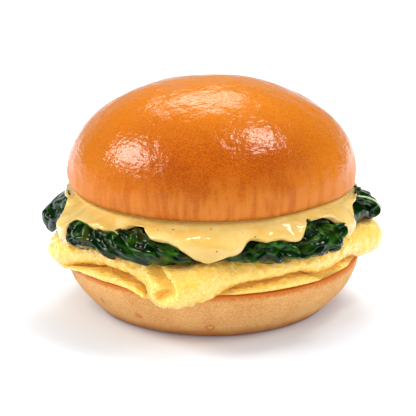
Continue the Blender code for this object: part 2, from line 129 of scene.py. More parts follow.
def bump(angle: float, centre: float, before: float, after: float) -> float:
    """A smooth bump of height 1 at centre, with its own spread on each side."""
    turn = turn_between(angle, centre)
    return exp(-((turn / (before if turn < 0 else after)) ** 2))


def hills(angle: float, table: Iterable[Hill]) -> float:
    """The sum at an angle of some hills and dips."""
    return sum(hill.height * bump(angle, hill.angle, hill.before, hill.after) for hill in table)


def smooth_step(low: float, high: float, value: float) -> float:
    """Rises smoothly from 0 at low to 1 at high."""
    share = min(1.0, max(0.0, (value - low) / (high - low)))
    return share * share * (3.0 - 2.0 * share)


def on_line(value: float, line: Sequence[tuple[float, float]]) -> float:
    """The height of a line that runs straight between its corners.

    Args:
        value: Where the height is asked for.
        line: The corners, each a place and a height.

    Returns:
        The height there.
    """
    if value <= line[0][0]:
        return line[0][1]
    for (low, here), (high, there) in zip(line, line[1:]):
        if value <= high:
            return here + (there - here) * (value - low) / (high - low)
    return line[-1][1]


def place_at(angle: float, radius: float, height: float) -> Vector:
    """The place in millimetres at an angle, a radius and a height."""
    turn = radians(angle)
    return Vector((radius * cos(turn), radius * sin(turn), height))


def angle_of(place: Vector) -> float:
    """The angle round the axis that a place lies at."""
    return degrees(atan2(place.y, place.x))


def radius_of(place: Vector) -> float:
    """How far a place lies from the axis."""
    return hypot(place.x, place.y)


def outward(place: Vector) -> Vector:
    """The level direction away from the axis at a place."""
    return Vector((place.x, place.y, 0.0)).normalized()


def bearing(direction: Vector) -> tuple[float, float]:
    """The angle round the axis and the climb, in degrees, of a direction of length 1."""
    return angle_of(direction), degrees(asin(max(-1.0, min(1.0, direction.z))))


def folds(place: Vector, size: float, seed: float) -> float:
    """Crumpled folds with sharp crests: 1 on a crest, falling to 0 in a hollow."""
    shift = Vector((seed, -seed * 1.3, seed * 0.7))
    return 1.0 - min(1.0, 2.2 * abs(noise.noise(place / size + shift)))


def even_angles(count: int) -> list[float]:
    """Angles spaced evenly round the axis."""
    return [360.0 * step / count - 180.0 for step in range(count)]


def deselect_all() -> None:
    """Leaves nothing selected and nothing active."""
    bpy.ops.object.select_all(action="DESELECT")
    bpy.context.view_layer.objects.active = None


def only(piece: Piece) -> None:
    """Selects one object and makes it the active one.

    Args:
        piece: The object.
    """
    deselect_all()
    piece.select_set(True)
    bpy.context.view_layer.objects.active = piece


def started(name: str) -> Piece:
    """Names the primitive that was just added.

    Args:
        name: Its name.

    Returns:
        The object.
    """
    piece = bpy.context.active_object
    piece.name = name
    piece.data.name = name
    return piece


def settle(piece: Piece) -> None:
    """Puts an object's place into its mesh, so that it sits at the origin, unturned and unscaled."""
    only(piece)
    bpy.ops.object.transform_apply(location=True, rotation=True, scale=True)


def apply_all(piece: Piece) -> None:
    """Applies each of an object's modifiers, in their order.

    Args:
        piece: The object.
    """
    only(piece)
    for modifier in list(piece.modifiers):
        bpy.ops.object.modifier_apply(modifier=modifier.name)


def refine(piece: Piece, levels: int) -> None:
    """Rounds and refines a mesh by subdivision.

    Args:
        piece: The object.
        levels: How many times it is subdivided.
    """
    rounder = piece.modifiers.new("rounding", "SUBSURF")
    rounder.levels = levels
    rounder.render_levels = levels
    apply_all(piece)


def relax(piece: Piece, factor: float, rounds: int) -> None:
    """Eases the mesh of a soft surface.

    Args:
        piece: The object.
        factor: How far each point moves, from 0 to 1.
        rounds: How often.
    """
    ease = piece.modifiers.new("easing", "SMOOTH")
    ease.factor = factor
    ease.iterations = rounds
    apply_all(piece)


def sculpt(piece: Piece, move: Callable[[Vector, Vector], Vector]) -> None:
    """Moves every point of a mesh.

    Args:
        piece: The object whose mesh is sculpted.
        move: Takes a point in millimetres and its normal, and gives the new point in millimetres.
    """
    mesh = piece.data
    normals = [vert.normal.copy() for vert in mesh.vertices]
    for vert, normal in zip(mesh.vertices, normals):
        vert.co = move(vert.co / MM, normal) * MM
    mesh.update()


def paint(piece: Piece, name: str, value: Callable[[Vector, Vector], float]) -> None:
    """Writes a number on every point of a mesh, for a finish to read.

    Args:
        piece: The object that is painted.
        name: The name that the finish reads it by.
        value: Takes a point in millimetres and its normal, and gives the number.
    """
    layer = piece.data.attributes.new(name, "FLOAT", "POINT")
    for vert, entry in zip(piece.data.vertices, layer.data):
        entry.value = value(vert.co / MM, vert.normal)


def surfaces(pieces: Sequence[Piece]) -> BVHTree:
    """The surfaces of some objects, for others to lie on.

    Args:
        pieces: The objects.

    Returns:
        Their faces together, in metres.
    """
    points, faces = [], []
    for piece in pieces:
        start = len(points)
        points.extend(vert.co.copy() for vert in piece.data.vertices)
        faces.extend([start + corner for corner in face.vertices] for face in piece.data.polygons)
    return BVHTree.FromPolygons(points, faces)


def met(tree: BVHTree, angle: float, height: float, reach: float) -> tuple[Vector | None, Vector | None]:
    """Where a level ray from outside the sandwich first meets some surfaces.

    Args:
        tree: The surfaces.
        angle: The angle that the ray comes in at.
        height: The ray's height in millimetres.
        reach: How far in it runs, in millimetres.

    Returns:
        The place in metres and the surface's normal, each None where it meets nothing.
    """
    start = place_at(angle, OUTSIDE, height) * MM
    return tree.ray_cast(start, -outward(start), reach * MM)[:2]


@dataclass(frozen=True)
class Feelers:
    """A cluster of rays: how far they stand to the sides and up, and how far in they run."""

    sways: tuple[float, ...]
    shifts: tuple[float, ...]
    reach: float

    def feel(self, tree: BVHTree, angle: float, height: float, missed: float) -> list[float]:
        """Feels for some surfaces with each ray.

        Args:
            tree: The surfaces.
            angle: The angle in the middle of the cluster.
            height: The height in the middle of the cluster.
            missed: What a ray gives that meets nothing.

        Returns:
            A radius in millimetres for each ray.
        """
        rays = [(angle + sway, height + shift) for sway in self.sways for shift in self.shifts]
        hits = [met(tree, *ray, self.reach)[0] for ray in rays]
        return [missed if hit is None else radius_of(hit) / MM for hit in hits]


def smooth_shade(piece: Piece, angle: float = 60.0) -> None:
    """Shades a mesh smooth, with edges sharper than angle left crisp."""
    only(piece)
    bpy.ops.object.shade_smooth_by_angle(angle=radians(angle))


def quad_ball(name: str, cuts: int) -> Piece:
    """A ball of four-sided faces without poles, of radius 1 mm.

    Args:
        name: The new object's name.
        cuts: How many cuts divide each side of the cube that it is blown up from.

    Returns:
        The new object.
    """
    deselect_all()
    bpy.ops.mesh.primitive_cube_add(size=2.0 * MM)
    ball = started(name)
    bpy.ops.object.mode_set(mode="EDIT")
    bpy.ops.mesh.subdivide(number_cuts=cuts)
    bpy.ops.object.mode_set(mode="OBJECT")
    # Each side's cuts are spread by their angle, so that the faces come out alike in size.
    sculpt(ball, lambda point, _: Vector([tan(pi / 4.0 * value) for value in point]).normalized())
    return ball


def ring_body(name: str, angles: Sequence[float], profiles: Sequence[Profile], levels: int) -> Piece:
    """A closed body, drawn ring by ring out of a circle and rounded.

    Args:
        name: The new object's name.
        angles: The angle of each column of points.
        profiles: For each column, the radius and height of its points, from top to foot.
        levels: How many times the rings are rounded and refined, before both ends are closed.

    Returns:
        The new object.
    """
    deselect_all()
    bpy.ops.mesh.primitive_circle_add(vertices=len(angles), radius=profiles[0][0][0] * MM)
    body = started(name)
    bpy.ops.object.mode_set(mode="EDIT")
    shape = bmesh.from_edit_mesh(body.data)
    column = shape.verts.layers.int.new("column")
    for index, vert in enumerate(shape.verts):
        vert[column] = index
    for ring in range(len(profiles[0])):
        if ring:
            bpy.ops.mesh.extrude_region_move()
        shape = bmesh.from_edit_mesh(body.data)
        column = shape.verts.layers.int["column"]
        for vert in shape.verts:
            if vert.select:
                radius, height = profiles[vert[column]][ring]
                vert.co = place_at(angles[vert[column]], radius, height) * MM
        bmesh.update_edit_mesh(body.data)
    bpy.ops.object.mode_set(mode="OBJECT")
    refine(body, levels)
    bpy.ops.object.mode_set(mode="EDIT")
    bpy.ops.mesh.select_all(action="DESELECT")
    bpy.ops.mesh.select_non_manifold()
    bpy.ops.mesh.edge_face_add()
    bpy.ops.mesh.poke()
    bpy.ops.mesh.select_all(action="SELECT")
    bpy.ops.mesh.normals_make_consistent(inside=False)
    bpy.ops.object.mode_set(mode="OBJECT")
    body.data.attributes.remove(body.data.attributes["column"])
    return body


def wear(piece: Piece, layer: Layer, material: Material) -> None:
    """Gives a piece its finish and its body, and reports it with its layer's slot.

    Args:
        piece: The piece.
        layer: The layer that it belongs to.
        material: Its finish.
    """
    piece.data.materials.clear()
    piece.data.materials.append(material)
    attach(piece, BODY)
    log.info("%s: %d faces, wears %s", piece.name, len(piece.data.polygons), layer.slot)


class Finish:
    """The node tree of one finish, with short ways to add what it is made of."""

    def __init__(self, name: str, **sockets: float | Colour) -> None:
        """Starts a finish from the values of the shader's own sockets.

        Args:
            name: The new material's name.
            sockets: The shader's sockets that differ from the usual, each with its value.
        """
        self.material = bpy.data.materials.new(name)
        self.material.use_nodes = True
        self.tree = self.material.node_tree
        self.shader = self.tree.nodes["Principled BSDF"]
        self.place = self.add("ShaderNodeTexCoord").outputs["Object"]
        for socket, value in sockets.items():
            self.feed(self.shader.inputs[socket.replace("_", " ").title().replace("Ior", "IOR")], value)

    def add(self, kind: str) -> bpy.types.Node:
        """Adds a node of a kind."""
        return self.tree.nodes.new(kind)

    def feed(self, socket: Socket, value: object) -> None:
        """Sets a socket to a number or a colour, or links it to another socket.

        Args:
            socket: The socket that is set.
            value: A number, a colour or the socket that it reads.
        """
        if isinstance(value, Socket):
            self.tree.links.new(value, socket)
        elif isinstance(value, tuple) and len(value) == 3 and socket.type == "RGBA":
            socket.default_value = (*value, 1.0)
        else:
            socket.default_value = value

    def stretched(self, x: float, y: float, z: float) -> Socket:
        """The place on the object, with each axis stretched.

        Args:
            x: The factor along X.
            y: The factor along Y.
            z: The factor along Z.

        Returns:
            The socket that holds it.
        """
        mapping = self.add("ShaderNodeMapping")
        self.feed(mapping.inputs["Vector"], self.place)
        mapping.inputs["Scale"].default_value = (x, y, z)
        return mapping.outputs["Vector"]

    def noise(
        self, size: float, detail: float = 2.0, kind: Grain = Grain.LUMPS, vector: Socket | None = None
    ) -> Socket:
        """A noise from 0 to 1.

        Args:
            size: The size of its lumps in millimetres.
            detail: How many finer layers it has.
            kind: What its lumps look like.
            vector: The place that it reads, if that isn't the place on the object.

        Returns:
            The socket that holds it.
        """
        made = self.add("ShaderNodeTexNoise")
        made.noise_type = kind.value
        made.normalize = True
        self.feed(made.inputs["Vector"], vector or self.place)
        made.inputs["Scale"].default_value = 1.0 / (size * MM)
        made.inputs["Detail"].default_value = detail
        return made.outputs[0]

    def cells(self, size: float) -> Socket:
        """The distance to the middles of a cellular pattern.

        Args:
            size: The size of its cells in millimetres.

        Returns:
            The socket that holds it.
        """
        made = self.add("ShaderNodeTexVoronoi")
        self.feed(made.inputs["Vector"], self.place)
        made.inputs["Scale"].default_value = 1.0 / (size * MM)
        return made.outputs["Distance"]

    def height(self) -> Socket:
        """The height on the object in metres.

        Returns:
            The socket that holds it.
        """
        split = self.add("ShaderNodeSeparateXYZ")
        self.feed(split.inputs[0], self.place)
        return split.outputs["Z"]

    def painted(self, name: str) -> Socket:
        """A number painted on the mesh.

        Args:
            name: The name that it was painted under.

        Returns:
            The socket that holds it.
        """
        made = self.add("ShaderNodeAttribute")
        made.attribute_name = name
        return made.outputs["Fac"]

    def ramp(self, value: object, low: float, high: float, start: float = 0.0, end: float = 1.0) -> Socket:
        """Turns a value smoothly from start at low to end at high.

        Args:
            value: The value, a socket.
            low: Where the turn begins.
            high: Where the turn ends.
            start: What it gives at low and below.
            end: What it gives at high and above.

        Returns:
            The socket that holds the result.
        """
        made = self.add("ShaderNodeMapRange")
        made.interpolation_type = "SMOOTHSTEP"
        for socket, given in zip(made.inputs, (value, low, high, start, end)):
            self.feed(socket, given)
        return made.outputs[0]

    def reckon(self, operation: str, *values: object) -> Socket:
        """The result of a sum of two or three values.

        Args:
            operation: Blender's name for the sum.
            values: Numbers or sockets.

        Returns:
            The socket that holds it.
        """
        made = self.add("ShaderNodeMath")
        made.operation = operation
        for socket, value in zip(made.inputs, values):
            self.feed(socket, value)
        return made.outputs[0]

    def times(self, one: object, other: object) -> Socket:
        """The product of two values."""
        return self.reckon("MULTIPLY", one, other)

    def wavering(self, value: object, size: float, detail: float, depth: float) -> Socket:
        """A value plus a noise of a size in millimetres and a depth in the value's own unit."""
        return self.reckon("ADD", value, self.times(self.noise(size, detail), depth))

    def blend(self, share: object, under: object, over: object) -> Socket:
        """A colour between two, by a share from 0 to 1.

        Args:
            share: The share of the upper colour.
            under: The lower colour.
            over: The upper colour.

        Returns:
            The socket that holds the colour.
        """
        made = self.add("ShaderNodeMix")
        made.data_type = "RGBA"
        self.feed(made.inputs[0], share)
        self.feed(made.inputs[6], under)
        self.feed(made.inputs[7], over)
        return made.outputs[2]

    def near(self, place: Vector, reach: float, edge: float) -> Socket:
        """1 within reach of a place, falling to 0 past its soft edge.

        Args:
            place: The place in millimetres.
            reach: How far the spot reaches.
            edge: Half the width of its soft edge.

        Returns:
            The socket that holds it.
        """
        made = self.add("ShaderNodeVectorMath")
        made.operation = "DISTANCE"
        self.feed(made.inputs[0], self.place)
        made.inputs[1].default_value = place * MM
        return self.ramp(made.outputs["Value"], (reach - edge) * MM, (reach + edge) * MM, 1.0, 0.0)

    def colour(self, value: object) -> None:
        """Sets the finish's colour."""
        self.feed(self.shader.inputs["Base Color"], value)

    def roughness(self, value: object) -> None:
        """Sets the finish's roughness."""
        self.feed(self.shader.inputs["Roughness"], value)

    def grain(self, *layers: tuple[object, float]) -> None:
        """Gives the surface its fine relief.

        Args:
            layers: Each a pattern from 0 to 1 and its depth in millimetres.
        """
        normal = self.relief(*layers)
        self.feed(self.shader.inputs["Normal"], normal)
        self.feed(self.shader.inputs["Coat Normal"], normal)

    def relief(self, *layers: tuple[object, float]) -> Socket:
        """The normal of a surface with some layers of fine relief.

        Args:
            layers: Each a pattern from 0 to 1 and its depth in millimetres.

        Returns:
            The socket that holds the normal.
        """
        normal = None
        for pattern, depth in layers:
            made = self.add("ShaderNodeBump")
            made.inputs["Distance"].default_value = depth * MM
            self.feed(made.inputs["Height"], pattern)
            if normal is not None:
                self.feed(made.inputs["Normal"], normal)
            normal = made.outputs["Normal"]
        return normal


@dataclass(frozen=True)
class GlazedCrust:
    """The egg-washed crust of the crown: deep orange-brown and glossy, paler and duller at its rim. Its top
    and two spots on its sides carry painted light, and its cut edge is darker, partly as its own colour and
    partly as a painted shadow where it meets the sauce.
    """

    deep: Colour = (0.29, 0.043, 0.0)
    bright: Colour = (0.49, 0.104, 0.001)
    # The golden colour is painted light: the top and the two side spots are lightened as if lit more
    # strongly.
    painted_light_gold: Colour = (0.66, 0.2, 0.004)
    rim: Colour = (0.57, 0.175, 0.018)
    # The middles of two spots of painted light, on the left and right sides of the crown.
    painted_light_spots: tuple[Triple, ...] = ((-47.0, -14.0, 52.0), (47.0, -14.0, 52.0))
    # The cut edge's colour is partly its own and partly a painted shadow where the crown meets the sauce.
    cut: Colour = (0.26, 0.07, 0.004)
    crumb: Colour = (0.93, 0.78, 0.5)

    def make(self) -> Material:
        """Mixes the colours, the gloss and the relief of the crust.

        Returns:
            The material.
        """
        crust = Finish(
            "crown_crust", ior=1.4, specular_ior_level=0.1, coat_roughness=0.1, coat_ior=1.5,
            sheen_weight=0.1, sheen_roughness=0.35, sheen_tint=(1.0, 0.6, 0.2),
        )
        above = crust.painted("above_rim")
        patches = crust.ramp(crust.noise(17.0, 3.0), 0.36, 0.66)
        speckle = crust.ramp(crust.noise(0.5, 4.0), 0.36, 0.66)
        share = crust.reckon("MULTIPLY_ADD", patches, 0.3, crust.ramp(speckle, 0.0, 1.0, 0.16, 0.7))
        baked = crust.blend(share, self.deep, self.bright)
        # Painted light: the top is lightened towards the golden colour.
        baked = crust.blend(crust.ramp(crust.height(), 60.0 * MM, 78.0 * MM, 0.0, 0.85), baked, self.painted_light_gold)
        # Painted light: each side spot is lightened towards the golden colour.
        for light_spot in self.painted_light_spots:
            baked = crust.blend(crust.times(crust.near(Vector(light_spot), 26.0, 16.0), 0.6), baked, self.painted_light_gold)
        baked = crust.blend(crust.ramp(speckle, 0.6, 0.0, 0.0, 0.28), baked, self.deep)
        streaks = crust.noise(3.0, 3.0, vector=crust.stretched(1.0, 1.0, 0.14))
        waver = crust.wavering(above, 9.0, 2.0, -9.0)
        pale = crust.times(crust.ramp(waver, 15.0, -3.0), crust.ramp(streaks, 0.4, 0.6, 0.4, 1.0))
        baked = crust.blend(pale, baked, self.rim)
        # Darker along the cut edge: partly its own colour, partly a painted shadow where the crown meets the
        # sauce.
        baked = crust.blend(crust.ramp(crust.wavering(above, 1.2, 2.0, -1.2), 0.7, -0.5), baked, self.cut)
        crust.colour(crust.blend(crust.ramp(above, -2.0, -3.5), baked, self.crumb))
        crust.roughness(crust.ramp(waver, 10.0, -2.0, 0.55, 0.7))
        glazed = crust.ramp(waver, 0.0, 12.0, 0.3, 1.0)
        crust.feed(crust.shader.inputs["Coat Weight"], glazed)
        crackle = crust.times(crust.noise(1.7, 3.0, vector=crust.stretched(0.6, 0.6, 1.8)), glazed)
        wrinkle = crust.ramp(streaks, 0.2, 0.8)
        crust.grain(
            (crust.noise(6.0, 2.0), 0.3), (crackle, 0.22), (wrinkle, 0.12), (crust.noise(0.6, 2.0), 0.06),
        )
        return crust.material


@dataclass(frozen=True)
class BakedCrust:
    """The dull crust of the heel: tan, freckled, darker at its foot and along its cut edge."""

    tan: Colour = (0.54, 0.23, 0.055)
    pale: Colour = (0.69, 0.39, 0.135)
    brown: Colour = (0.37, 0.105, 0.008)
    edge: Colour = (0.52, 0.135, 0.008)
    crumb: Colour = (0.93, 0.78, 0.5)
    blisters: tuple[Triple, ...] = ((-138.5, 46.8, 10.3), (-121.0, 45.5, 8.0), (-91.0, 44.2, 5.6))

    def make(self) -> Material:
        """Mixes the colours, the gloss and the relief of the crust.

        Returns:
            The material.
        """
        crust = Finish("heel_crust", ior=1.45, subsurface_weight=0.15, subsurface_scale=0.004)
        height = crust.height()
        freckles = crust.ramp(crust.noise(0.55, 4.0), 0.39, 0.61)
        patches = crust.ramp(crust.noise(11.0, 3.0), 0.35, 0.65)
        share = crust.reckon("ADD", crust.times(patches, 0.35), crust.times(freckles, 0.65))
        baked = crust.blend(share, self.tan, self.pale)
        low = crust.wavering(height, 7.0, 2.0, 5.0 * MM)
        baked = crust.blend(crust.ramp(low, 8.5 * MM, 1.5 * MM), baked, self.brown)
        rings = None
        for angle, radius, up in self.blisters:
            centre = place_at(angle, radius, up)
            ring = crust.reckon("SUBTRACT", crust.near(centre, 1.9, 0.3), crust.near(centre, 1.4, 0.35))
            rings = ring if rings is None else crust.reckon("ADD", rings, ring)
        baked = crust.blend(crust.times(rings, 0.8), baked, self.edge)
        line = crust.wavering(height, 1.4, 3.0, 2.4 * MM)
        baked = crust.blend(crust.ramp(line, 16.6 * MM, 18.4 * MM), baked, self.edge)
        inside = crust.near(Vector((0.0, 0.0, 60.0)), 62.0, 0.8)
        crust.colour(crust.blend(inside, baked, self.crumb))
        crust.roughness(crust.ramp(freckles, 0.0, 1.0, 0.62, 0.74))
        crust.grain((crust.noise(5.0, 2.0), 0.25), (crust.noise(0.9, 4.0), 0.07), (rings, 0.3))
        return crust.material


@dataclass(frozen=True)
class FluffyEgg:
    """The soft curd of the omelette: light yellow, finely pitted and flecked deeper yellow, with painted
    light in its folds and painted glints.
    """

    light: Colour = (1.0, 0.59, 0.14)
    deep: Colour = (1.0, 0.49, 0.04)
    # The folded colour is painted light: a brighter yellow that offsets the shade in the folds, the crease
    # and the curd hollows.
    folded: Colour = (1.0, 0.65, 0.11)
    # Painted highlights: the colour of the bright specks painted into the curd.
    painted_glint: Colour = (1.0, 0.84, 0.45)

    def make(self) -> Material:
        """Mixes the colours, the gloss and the relief of the egg.

        Returns:
            The material.
        """
        egg = Finish(
            "omelette_curd", ior=1.42, subsurface_weight=0.6, subsurface_radius=(1.0, 0.85, 0.45),
            subsurface_scale=0.0035, coat_weight=1.0, coat_roughness=0.07,
        )
        hollow = egg.painted("hollow")
        patches = egg.ramp(egg.noise(2.4, 4.0), 0.46, 0.64, 0.0, 0.6)
        flecks = egg.ramp(egg.noise(1.0, 2.0), 0.56, 0.68, 0.0, 0.8)
        curd = egg.blend(egg.reckon("MAXIMUM", patches, flecks), self.light, self.deep)
        # Painted light: the folds, the crease and the curd hollows are brightened.
        curd = egg.blend(hollow, curd, self.folded)
        # Painted highlights: bright specks, fewer in the folds.
        painted_glints = egg.ramp(egg.noise(0.75, 2.0), 0.6, 0.7)
        bare = egg.ramp(hollow, 0.0, 0.5, 0.85, 0.2)
        egg.colour(egg.blend(egg.times(painted_glints, bare), curd, self.painted_glint))
        egg.roughness(egg.ramp(egg.noise(2.0, 2.0), 0.35, 0.65, 0.34, 0.55))
        pits = egg.ramp(egg.cells(1.1), 0.0, 0.55)
        body = ((egg.noise(2.0, 3.0), 0.42), (pits, 0.14))
        egg.grain(*body, (egg.noise(0.8, 2.0), 0.08))
        egg.feed(egg.shader.inputs["Coat Normal"], egg.relief(*body, (egg.noise(0.9, 1.0), 0.2)))
        return egg.material


@dataclass(frozen=True)
class WiltedLeaf:
    """A cooked spinach leaf: almost black-green and wet, with olive stains. The crests of its folds are
    greener and the hollows darker, partly its own colour and partly painted light and shade.
    """

    dark: Colour = (0.001, 0.012, 0.001)
    green: Colour = (0.03, 0.125, 0.005)
    olive: Colour = (0.07, 0.055, 0.008)

    def make(self) -> Material:
        """Mixes the colours, the gloss and the folds of the leaves.

        Returns:
            The material.
        """
        leaf = Finish(
            "spinach_leaf", ior=1.45, specular_ior_level=0.05,
            coat_weight=0.8, coat_roughness=0.06, coat_ior=1.4,
        )
        ridges = leaf.painted("ridge")
        patches = leaf.ramp(leaf.noise(5.0, 3.0), 0.42, 0.66)
        # Greener on the crests and darker in the hollows of the folds: partly the leaf's own colour, partly
        # painted light and shade.
        share = leaf.times(leaf.ramp(ridges, 0.45, 1.0), leaf.ramp(patches, 0.0, 1.0, 0.35, 1.0))
        body = leaf.blend(share, self.dark, self.green)
        brown = leaf.ramp(leaf.noise(9.0, 2.0), 0.6, 0.72, 0.0, 0.5)
        leaf.colour(leaf.blend(brown, body, self.olive))
        leaf.roughness(leaf.ramp(patches, 0.0, 1.0, 0.28, 0.42))
        leaf.grain((leaf.noise(2.6, 1.0, Grain.RIDGES), 0.16), (leaf.noise(0.9, 2.0), 0.04))
        return leaf.material


@dataclass(frozen=True)
class PaleStem:
    """A stalk of spinach: pale green and wet."""

    pale: Colour = (0.5, 0.56, 0.36)
    green: Colour = (0.26, 0.36, 0.14)

    def make(self) -> Material:
        """Mixes the colours and the gloss of the stalk.

        Returns:
            The material.
        """
        stem = Finish("spinach_stem", ior=1.45, coat_weight=0.6, coat_roughness=0.15)
        lines = stem.ramp(stem.noise(1.2, 2.0), 0.4, 0.65)
        stem.colour(stem.blend(lines, self.pale, self.green))
        stem.roughness(stem.ramp(lines, 0.0, 1.0, 0.3, 0.45))
        stem.grain((stem.noise(0.6, 2.0), 0.06))
        return stem.material


@dataclass(frozen=True)
class MeltedCheese:
    """The thick sauce: pale yellow, smooth and wet."""

    pale: Colour = (0.75, 0.53, 0.18)
    warm: Colour = (0.71, 0.45, 0.1)
    fleck: Colour = (0.75, 0.32, 0.05)

    def make(self) -> Material:
        """Mixes the colours, the gloss and the relief of the sauce.

        Returns:
            The material.
        """
        sauce = Finish(
            "cheese_sauce", ior=1.45, subsurface_weight=0.25, subsurface_radius=(1.0, 0.7, 0.3),
            subsurface_scale=0.003, coat_weight=1.0, coat_roughness=0.05, coat_ior=1.45,
        )
        swirl = sauce.ramp(sauce.noise(8.0, 3.0), 0.35, 0.7)
        flecks = sauce.ramp(sauce.noise(1.0, 1.0), 0.7, 0.76, 0.0, 0.45)
        sauce.colour(sauce.blend(flecks, sauce.blend(swirl, self.pale, self.warm), self.fleck))
        sauce.roughness(sauce.ramp(sauce.noise(3.0, 2.0), 0.3, 0.7, 0.25, 0.38))
        sauce.grain((sauce.noise(6.0, 2.0), 0.5), (sauce.noise(2.0, 2.0), 0.06))
        return sauce.material


@dataclass(frozen=True)
class CrushedSpice:
    """Crushed pepper and herbs: dark, with paler husks."""

    dark: Colour = (0.02, 0.014, 0.006)
    husk: Colour = (0.3, 0.11, 0.015)

    def make(self) -> Material:
        """Mixes the colours of the flakes.

        Returns:
            The material.
        """
        spice = Finish("crushed_spice", ior=1.45)
        share = spice.ramp(spice.noise(3.0, 1.0), 0.42, 0.6)
        spice.colour(spice.blend(share, self.dark, self.husk))
        spice.roughness(spice.ramp(share, 0.0, 1.0, 0.5, 0.7))
        spice.grain((spice.noise(0.2, 1.0), 0.03))
        return spice.material


@dataclass
class BunCrown:
    """The top half of the bun: a round dome that draws in a little at its cut edge."""

    widest_radius: float = 49.4
    widest_height: float = 44.9
    dome: float = 32.1
    dome_power: float = 0.935
    rim_height: float = 41.2
    rim_radius: float = 48.2
    face_height: float = 41.5
    face_inset: float = 4.0
    face_climb: float = -60.0
    ripple_climb: float = -18.0
    tuck: float = 1.9
    edge_round: float = 0.8
    cuts: int = 96
    rim_lifts: tuple[Hill, ...] = (Hill(-45, 0.9, 22, 22), Hill(120, 0.5, 40, 40))
    relief: Relief = Relief(0.45, 17.0, 3.0)
    dimples: Relief = Relief(0.16, 5.0, 9.0)
    ripple: Relief = Relief(0.22, 4.5, 8.0)

    def rim_at(self, angle: float) -> float:
        """The height of the cut edge at an angle."""
        return self.rim_height + hills(angle, self.rim_lifts)

    def surface(self, direction: Vector) -> Vector:
        """The point of the crown that lies in a direction from its middle.

        Args:
            direction: A direction of length 1: up to the top, level to the widest part, down to the cut face.

        Returns:
            The point in millimetres.
        """
        angle, climb = bearing(direction)
        rim = self.rim_at(angle)
        if climb >= 0.0:
            slope = radians(climb)
            radius = self.widest_radius * cos(slope)
            height = self.widest_height + self.dome * sin(slope) ** self.dome_power
            place = place_at(angle, radius, height)
            swell = self.relief.at(place) + self.dimples.at(place)
            return place_at(angle, radius + swell * cos(slope), height + swell * sin(slope))
        face = self.rim_radius - self.face_inset
        if climb < self.face_climb:
            return place_at(angle, face * (90.0 + climb) / (90.0 + self.face_climb), self.face_height)
        ripple = self.ripple.at(place_at(angle, self.widest_radius, rim))
        ripple *= smooth_step(0.0, self.ripple_climb, climb)
        # The corners of the outline below the widest part: the climb, the radius and the height of each.
        outline = (
            (self.face_climb, face, self.face_height), (-40.0, self.rim_radius - self.edge_round, rim),
            (-33.0, self.rim_radius - 0.15, rim + 0.25), (-26.0, self.rim_radius + 0.2, rim + 0.8),
            (-13.0, self.widest_radius - 0.3, rim + self.tuck), (0.0, self.widest_radius, self.widest_height),
        )
        radius = on_line(climb, [(at, out) for at, out, _ in outline])
        height = on_line(climb, [(at, up) for at, _, up in outline])
        swell = self.relief.at(place_at(angle, radius, height)) * smooth_step(self.ripple_climb, 0.0, climb)
        return place_at(angle, radius + ripple + swell, height)

    def build(self) -> Piece:
        """Blows the crown up from a ball and paints on its height above the cut edge.

        Returns:
            The new object.
        """
        crown = quad_ball("crown_of_bun", self.cuts)
        sculpt(crown, lambda point, _: self.surface(point.normalized()))
        relax(crown, 0.5, 2)

        def above_rim(point: Vector, normal: Vector) -> float:
            """The height over the cut edge, or a step below it on the cut face.

            Args:
                point: A point in millimetres.
                normal: Its normal.

            Returns:
                The number to paint.
            """
            under = smooth_step(-0.5, -0.95, normal.z) * 5.0
            return point.z - self.rim_at(angle_of(point)) - under

        paint(crown, "above_rim", above_rim)
        smooth_shade(crown)
        return crown

    def dress(self, crown: Piece) -> None:
        """Glazes the crown."""
        wear(crown, Layer.CROWN, GlazedCrust().make())
        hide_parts(Layer.CROWN.node)


